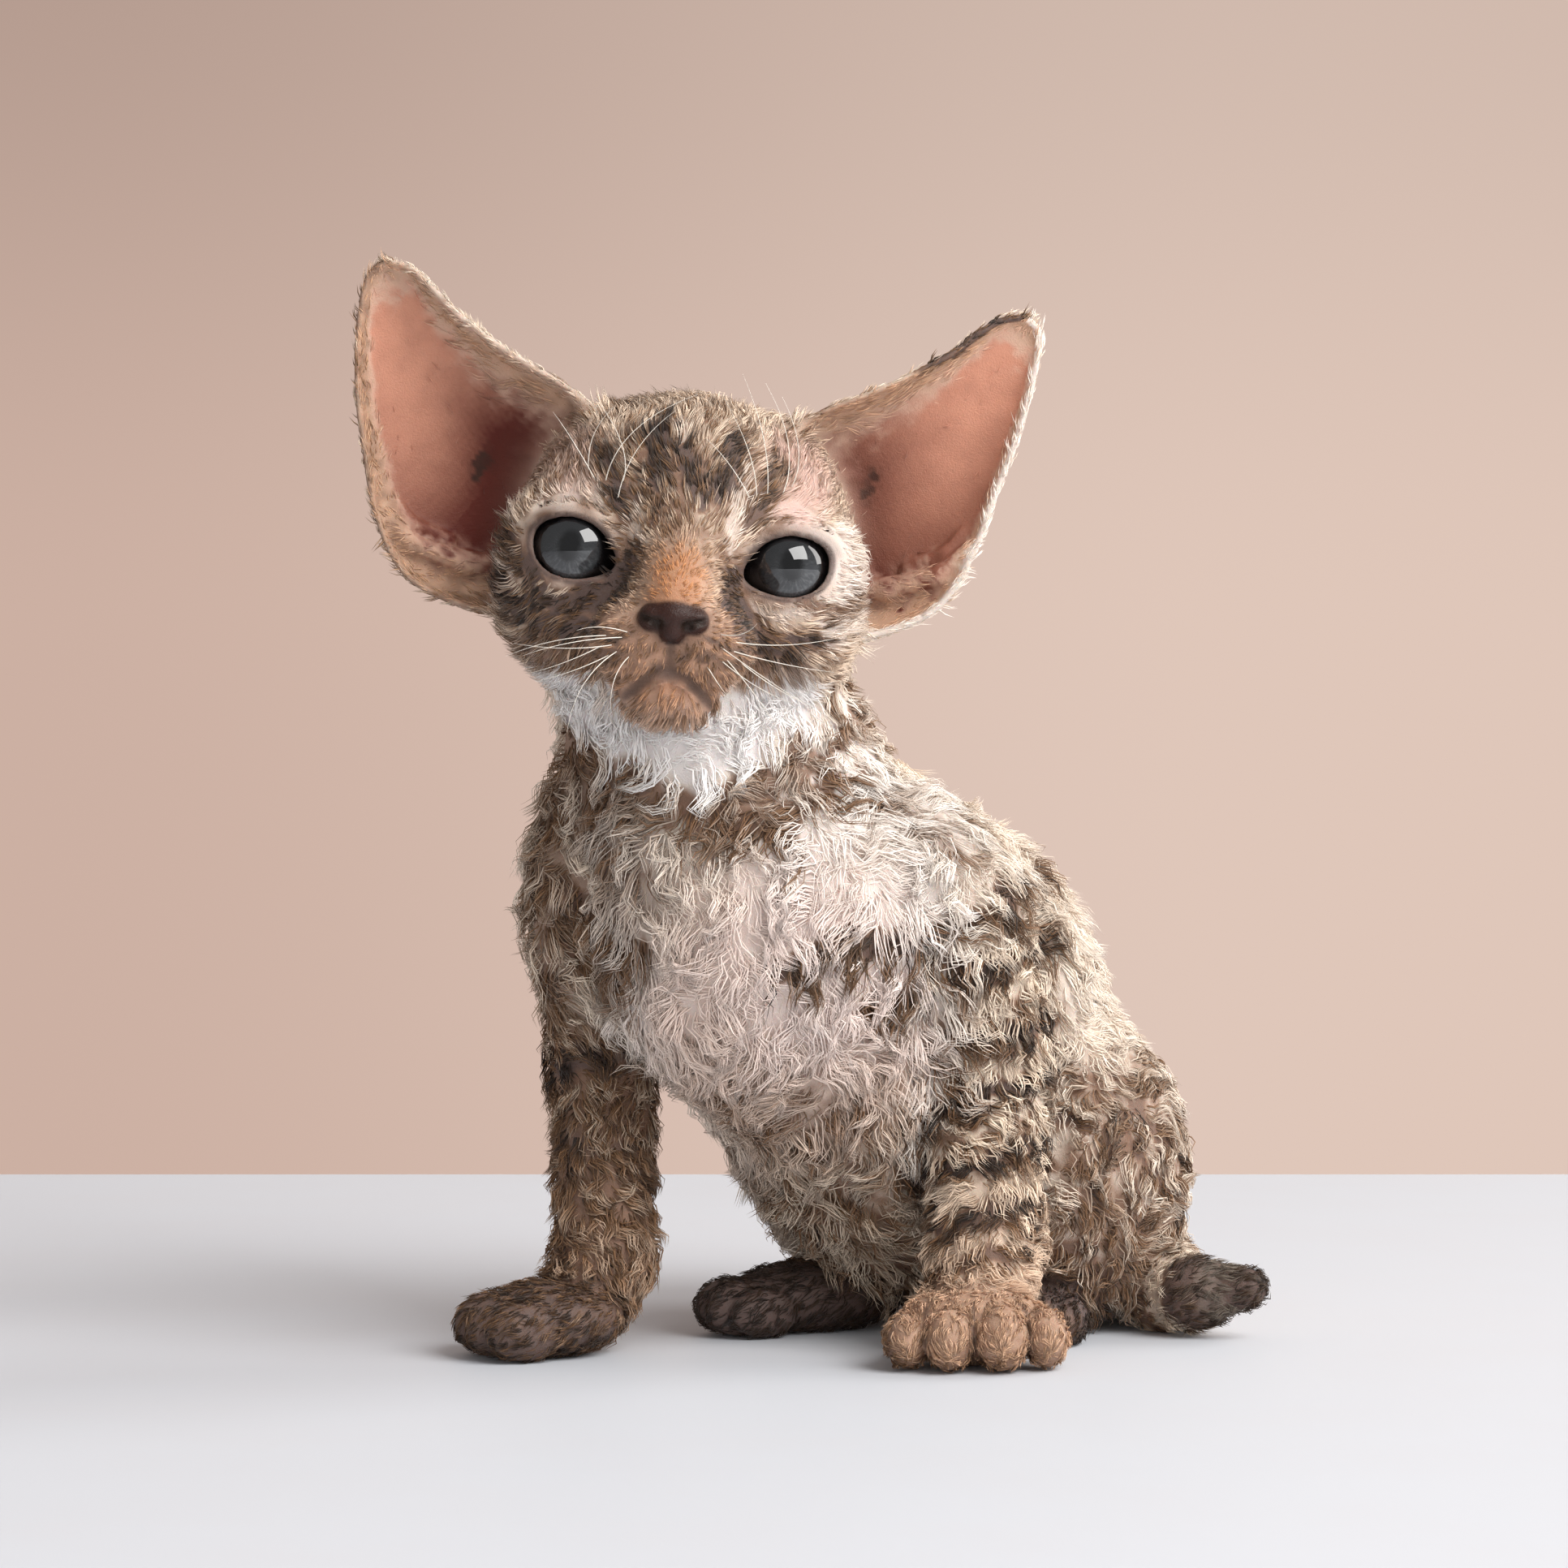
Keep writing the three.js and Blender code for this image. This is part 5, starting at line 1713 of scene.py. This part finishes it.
class KITTEN_OT_coat(bpy.types.Operator):
    """Grows the curls, the wavy fur of the legs and the short fur as pieces of the coat"""

    bl_idname = "kitten.coat"
    bl_label = "Coat"

    SLOTS = {
        "trunk": "body_coat",
        "foreleg": "leg_coat",
        "foot": "leg_coat",
        "tail": "tail_coat",
        "head": "face_coat",
        "ear": "ear_skin",
    }

    def execute(self, context):
        material = coat_material(context.scene.kitten_colours)
        draw = np.random.default_rng(context.scene.coat_sizes.seed)
        for part, pieces in COAT_PIECES.items():
            kind = KINDS[FURS[part].kind]
            roots, normals = roots_on_skin(part, draw)
            guide, central = locks(roots, kind, draw)
            line, outs = centrelines(part, roots, normals, guide, central, draw)
            line = into_locks(line, normals, guide, kind)
            tone = np.stack([draw.random(len(roots))[guide], central], axis=1)
            line[..., 2] = np.maximum(line[..., 2], FLOOR_CLEAR)
            nearest = np.stack([lengths(roots - np.array(at)) for at in pieces.values()]).argmin(0)
            for i, name in enumerate(pieces):
                own = nearest == i
                piece = add_coat_piece(
                    name, part, roots[own], normals[own], line[:, own], outs[:, own], tone[own], draw
                )
                finish_piece(piece, material, self.SLOTS[part])
        return {"FINISHED"}


EYE_RINGS = 40
EYE_AROUND = 64
# The ball stands this share of its radius inside the lids
EYE_CLEAR = 0.02
# Half width of the iris in radians, half width and height of the pupil, and the cornea's bulge in millimetres
IRIS = 0.95
PUPIL = (0.23, 0.33)
CORNEA = 0.35
# Threads and clouds of the iris, and roots of the whiskers, as linear light
IRIS_THREADS = (0.20, 0.21, 0.215, 1)
IRIS_CLOUDS = (0.03, 0.035, 0.045, 1)
WHISKER_ROOT = (0.5, 0.42, 0.34, 1)


def eye_material(colours):
    shader = Shader("kitten_eye")
    off, turn, up, _ = shader.attribute("iris")
    place = shader.node("ShaderNodeCombineXYZ", None, (turn * 14, off * 2.2, 0.0))
    fibres = shader.noise(3.2, 4, place)
    cloud = shader.noise(420, 2)
    # Painted light: the iris's threads show only on its lower part
    colour = shader.mix(linear(colours.iris), IRIS_THREADS, fibres.between(0.4, 0.75) * up * 0.4)
    colour = shader.mix(colour, IRIS_CLOUDS, cloud.between(0.5, 0.8) * 0.3)
    # Painted shadow of the lid: the upper part and one side of the iris darken towards the pupil's colour
    colour = shader.mix(colour, linear(colours.pupil), (1 - up) * 0.7)
    colour = shader.mix(colour, linear(colours.pupil), off.between(0.56, 0.72))
    pupil = shader.attribute("pupil")[0]
    colour = shader.mix(colour, linear(colours.pupil), pupil)
    return shader.finish(
        Base_Color=colour,
        Roughness=0.4,
        Coat_Weight=1.0,
        Coat_IOR=1.7,
        Coat_Roughness=0.02,
        Specular_IOR_Level=0.0,
    )


def globe():
    """Ways out from the middle of a ball, their angles from its axis and round it, and the ball's faces"""
    rows = EYE_RINGS - 1
    around = np.arange(EYE_AROUND)
    after = (around + 1) % EYE_AROUND
    off = np.append(np.repeat(np.linspace(0, math.pi, EYE_RINGS + 1)[1:-1], EYE_AROUND), [0, math.pi])
    turn = np.append(np.tile(around / EYE_AROUND * 2 * math.pi, rows), [0, 0])
    ways = np.stack([np.sin(off) * np.cos(turn), np.sin(off) * np.sin(turn), np.cos(off)], axis=1)
    first = np.arange(rows - 1)[:, None] * EYE_AROUND
    base = (first + around).ravel()
    ahead = (first + after).ravel()
    quads = np.stack([base, base + EYE_AROUND, ahead + EYE_AROUND, ahead], axis=1)
    top = np.full(EYE_AROUND, len(ways) - 2)
    last = (rows - 1) * EYE_AROUND
    caps = [(top, around, after), (top + 1, last + after, last + around)]
    return ways, off, turn, [quads, np.vstack([np.stack(cap, axis=1) for cap in caps])]


class KITTEN_OT_eyes(bpy.types.Operator):
    """Makes the two eyeballs, with a cornea that bulges over the iris"""

    bl_idname = "kitten.eyes"
    bl_label = "Eyes"

    def execute(self, context):
        material = eye_material(context.scene.kitten_colours)
        radius = context.scene.kitten_sizes.eye_radius / MM
        ways, off, turn, faces = globe()
        swell = 1 + CORNEA / radius * smooth(IRIS, 0.2, off)
        local = ways * (radius * swell * (1 - EYE_CLEAR))[:, None]
        # Share of the eye painted as lit: the lower part; the upper part and one side take the lid's painted
        # shadow
        up = smooth(0.75, -0.55, ways[:, 1] * 1.25) * smooth(-0.9, 0.1, ways[:, 0])
        iris = np.stack([off / IRIS * 0.9, turn / (2 * math.pi), up, np.ones(len(off))], axis=1)
        slit = np.hypot(ways[:, 0] / PUPIL[0], (ways[:, 1] - 0.05) / PUPIL[1])
        pupil = (1 - smooth(0.8, 1.25, slit)) * (ways[:, 2] > 0)
        for name, side in SIDES.items():
            points = HEAD.world(eye_frame(side).world(local))
            piece = mesh_object(f"eyeball_{name}", points, faces)
            add_attribute(piece, "iris", iris)
            add_attribute(piece, "pupil", np.stack([pupil] * 4, axis=1))
            finish_piece(piece, material, "eyes")
            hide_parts(f"eye_{name}")
        return {"FINISHED"}


# Whiskers, as root across and up on the face, the way they leave it, length share and curl
WHISKERS = [
    ((8.5, -12.5), (0.8, -0.5, -0.1), 1.0, 0.25),
    ((9.6, -13.8), (0.85, -0.4, -0.2), 0.9, -0.3),
    ((10.4, -12.2), (0.9, -0.3, 0.05), 0.8, 0.4),
    ((8.2, -14.6), (0.7, -0.45, -0.5), 0.8, 0.5),
    ((9.6, -15.6), (0.75, -0.35, -0.6), 0.75, -0.4),
    ((7.0, -11.6), (0.75, -0.6, 0.1), 0.55, 0.8),
    ((6.6, -15.8), (0.45, -0.6, -0.7), 0.45, 0.9),
    ((11.2, -14.8), (0.85, -0.2, -0.45), 0.65, 0.2),
]
# Hairs above the eyes, in the same way
BROWS = [
    ((10.5, 9.5), (-0.15, -0.5, 0.9), 0.85, 0.9),
    ((12.5, 10.5), (0.05, -0.5, 0.9), 1.0, 0.8),
    ((14.2, 11.5), (0.25, -0.45, 0.85), 0.9, 1.1),
    ((9.2, 10.8), (-0.3, -0.5, 0.85), 0.65, -0.9),
    ((15.4, 12.6), (0.35, -0.4, 0.8), 0.7, 1.4),
]
WHISKER_STEPS = 14
WHISKER_SIDES = 5


class KITTEN_OT_whiskers(bpy.types.Operator):
    """Makes the whiskers on the muzzle and above the eyes"""

    bl_idname = "kitten.whiskers"
    bl_label = "Whiskers"

    def execute(self, context):
        sizes = context.scene.kitten_sizes
        draw = np.random.default_rng(context.scene.coat_sizes.seed + 1)
        points, quads = [], []
        for side in SIDES.values():
            for (x, z), way, long, curl in WHISKERS + BROWS:
                x = x + draw.normal() * 0.4
                z = z + draw.normal() * 0.4
                way = np.array(way) + draw.normal(size=3) * 0.12
                at = on_face(x * side, z)
                reach = sizes.whisker_length / MM * long * draw.uniform(0.8, 1.1)
                curl = curl + draw.normal() * 0.25
                line = self.line(at, way * np.array([side, 1, 1]), reach, curl * side)
                base = len(points) * WHISKER_SIDES
                points.extend(self.tube(HEAD.world(line), sizes.whisker_radius / MM))
                for k in range(WHISKER_STEPS):
                    row = base + k * WHISKER_SIDES
                    above = row + WHISKER_SIDES
                    for j in range(WHISKER_SIDES):
                        after = (j + 1) % WHISKER_SIDES
                        quads.append((row + j, row + after, above + after, above + j))
        piece = mesh_object("whiskers", np.concatenate(points), np.array(quads))
        shader = Shader("kitten_whisker")
        pale = linear(context.scene.kitten_colours.whisker)
        colour = shader.mix(pale, WHISKER_ROOT, shader.noise(900).between(0.5, 0.9) * 0.3)
        finish_piece(piece, shader.finish(Base_Color=colour, Roughness=0.35), "face_coat")
        return {"FINISHED"}

    @staticmethod
    def line(at, way, reach, curl):
        """Points of a whisker that droops a little and bends to one side"""
        way = way / np.linalg.norm(way)
        side = np.cross(way, UP)
        side = side / np.linalg.norm(side)
        s = np.linspace(0, 1, WHISKER_STEPS + 1)[:, None]
        lift = 0.28 * s**2 * np.sign(curl) * abs(curl) ** 0.5
        bend = np.cross(side, way) * lift + side * (0.35 * curl * s**2)
        back = np.array([0, 0.5, 0]) * s**2
        return at - way * 0.5 + (way * s + bend + back) * reach

    @staticmethod
    def tube(line, radius):
        """Rings of points round a whisker that thins towards its tip"""
        ways = unit(np.gradient(line, axis=0))
        side = unit(np.cross(ways, UP + 0.01))
        top = np.cross(side, ways)
        rows = []
        for k, p in enumerate(line):
            thick = radius * (1 - 0.8 * k / WHISKER_STEPS)
            turn = np.arange(WHISKER_SIDES) / WHISKER_SIDES * 2 * math.pi
            rows.append(p + thick * (np.cos(turn)[:, None] * side[k] + np.sin(turn)[:, None] * top[k]))
        return rows


class KITTEN_OT_stage(bpy.types.Operator):
    """Sets the floor, backdrop, lights and camera"""

    bl_idname = "kitten.stage"
    bl_label = "Stage"

    def execute(self, context):
        stage = context.scene.kitten_stage
        moved_by = shift() * MM
        floor = self.slab("floor", (-1.6, 1.6), (-1.8, stage.far_edge), (-0.03, 0.0))
        shader = Shader("stage_floor")
        grain = shader.noise(30, 2).between(0.3, 0.8)
        colour = shader.mix(linear(stage.floor), linear(stage.shaded), grain * 0.03)
        floor.data.materials.append(shader.finish(Base_Color=colour, Roughness=0.55, Specular_IOR_Level=0.25))
        wall = self.slab("backdrop", (-3.0, 3.0), (1.6, 1.62), (-1.2, 2.4))
        wall.data.materials.append(self.wall_material(stage))

        self.lamp("window", (1.15, -1.15, 1.36), (1.6, 1.3), stage.key_power, (1.0, 0.985, 0.97))
        self.lamp("side", (1.5, 0.55, 0.85), (0.9, 1.2), stage.rim_power, (1.0, 0.97, 0.94))
        fill = self.lamp("fill", (-0.1, -1.5, 0.3), (1.2, 0.5), stage.fill_power, (1.0, 0.97, 0.94))
        fill.visible_glossy = False
        world = bpy.data.worlds.new("studio")
        world.use_nodes = True
        back = world.node_tree.nodes["Background"]
        back.inputs[0].default_value = (0.98, 0.97, 0.97, 1.0)
        back.inputs[1].default_value = stage.sky
        context.scene.world = world
        context.scene.view_settings.view_transform = "Standard"

        lens = bpy.data.cameras.new("camera")
        lens.lens = stage.focal_length
        lens.sensor_width = 36
        lens.clip_start = 0.01
        camera = bpy.data.objects.new("camera", lens)
        camera.location = (moved_by[0], moved_by[1] - stage.camera_back, stage.camera_height)
        camera.rotation_euler = (math.pi / 2 - stage.camera_pitch, 0, 0)
        context.scene.collection.objects.link(camera)
        context.scene.camera = camera
        return {"FINISHED"}

    @staticmethod
    def slab(name, x, y, z):
        corners = [(a, b, c) for a in x for b in y for c in z]
        faces = [(0, 1, 3, 2), (4, 6, 7, 5), (0, 4, 5, 1), (2, 3, 7, 6), (0, 2, 6, 4), (1, 5, 7, 3)]
        mesh = bpy.data.meshes.new(name)
        mesh.from_pydata(corners, [], faces)
        piece = bpy.data.objects.new(name, mesh)
        bpy.context.scene.collection.objects.link(piece)
        return piece

    @staticmethod
    def wall_material(stage):
        """A wall out of focus that glows instead of being lit: painted light, a little darker away from the
        window and at the top
        """
        shader = Shader("stage_backdrop")
        across, _, up = shader.split("ShaderNodeSeparateXYZ", shader.place())
        colour = shader.mix(linear(stage.shaded), linear(stage.backdrop), across.between(-0.36, 0.2))
        shade = 1 - up.between(0.1, 0.42) * (1 - across.between(-0.4, 0.3) * 0.4) * 0.24
        return shader.finish(
            Base_Color=(0, 0, 0, 1),
            Roughness=1.0,
            Specular_IOR_Level=0.0,
            Emission_Color=shader.mix(colour, shader.grey(shade), 1.0, "MULTIPLY"),
            Emission_Strength=1.0,
        )

    @staticmethod
    def lamp(name, at, size, power, colour, target=(0, 0, 0.09)):
        light = bpy.data.lights.new(name, "AREA")
        light.shape = "RECTANGLE"
        light.size, light.size_y = size
        light.energy = power
        light.color = colour
        piece = bpy.data.objects.new(name, light)
        piece.location = at
        piece.rotation_euler = (Vector(target) - Vector(at)).to_track_quat("-Z", "Y").to_euler()
        bpy.context.scene.collection.objects.link(piece)
        return piece


class KITTEN_PT_panel(bpy.types.Panel):
    """Shows the kitten's settings and the buttons of its steps in the sidebar"""

    bl_label = "Kitten"
    bl_idname = "KITTEN_PT_panel"
    bl_space_type = "VIEW_3D"
    bl_region_type = "UI"
    bl_category = "Kitten"

    def draw(self, context):
        for name in GROUPS:
            group = getattr(context.scene, name)
            box = self.layout.box()
            for key in group.__annotations__:
                box.prop(group, key)
        for step in STEPS:
            self.layout.operator(step.bl_idname)


GROUPS = {
    "kitten_sizes": KittenSizes,
    "coat_sizes": CoatSizes,
    "kitten_colours": KittenColours,
    "kitten_stage": StageSettings,
}
STEPS = (KITTEN_OT_stage, KITTEN_OT_skin, KITTEN_OT_eyes, KITTEN_OT_coat, KITTEN_OT_whiskers)


def register():
    for kind in (*GROUPS.values(), *STEPS, KITTEN_PT_panel):
        bpy.utils.register_class(kind)
    for name, kind in GROUPS.items():
        setattr(bpy.types.Scene, name, PointerProperty(type=kind))


def unregister():
    for name in GROUPS:
        delattr(bpy.types.Scene, name)
    for kind in reversed((*GROUPS.values(), *STEPS, KITTEN_PT_panel)):
        bpy.utils.unregister_class(kind)


def main():
    register()
    for step in STEPS:
        group, name = step.bl_idname.split(".")
        getattr(getattr(bpy.ops, group), name)()
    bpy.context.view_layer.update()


if __name__ == "__main__":
    main()
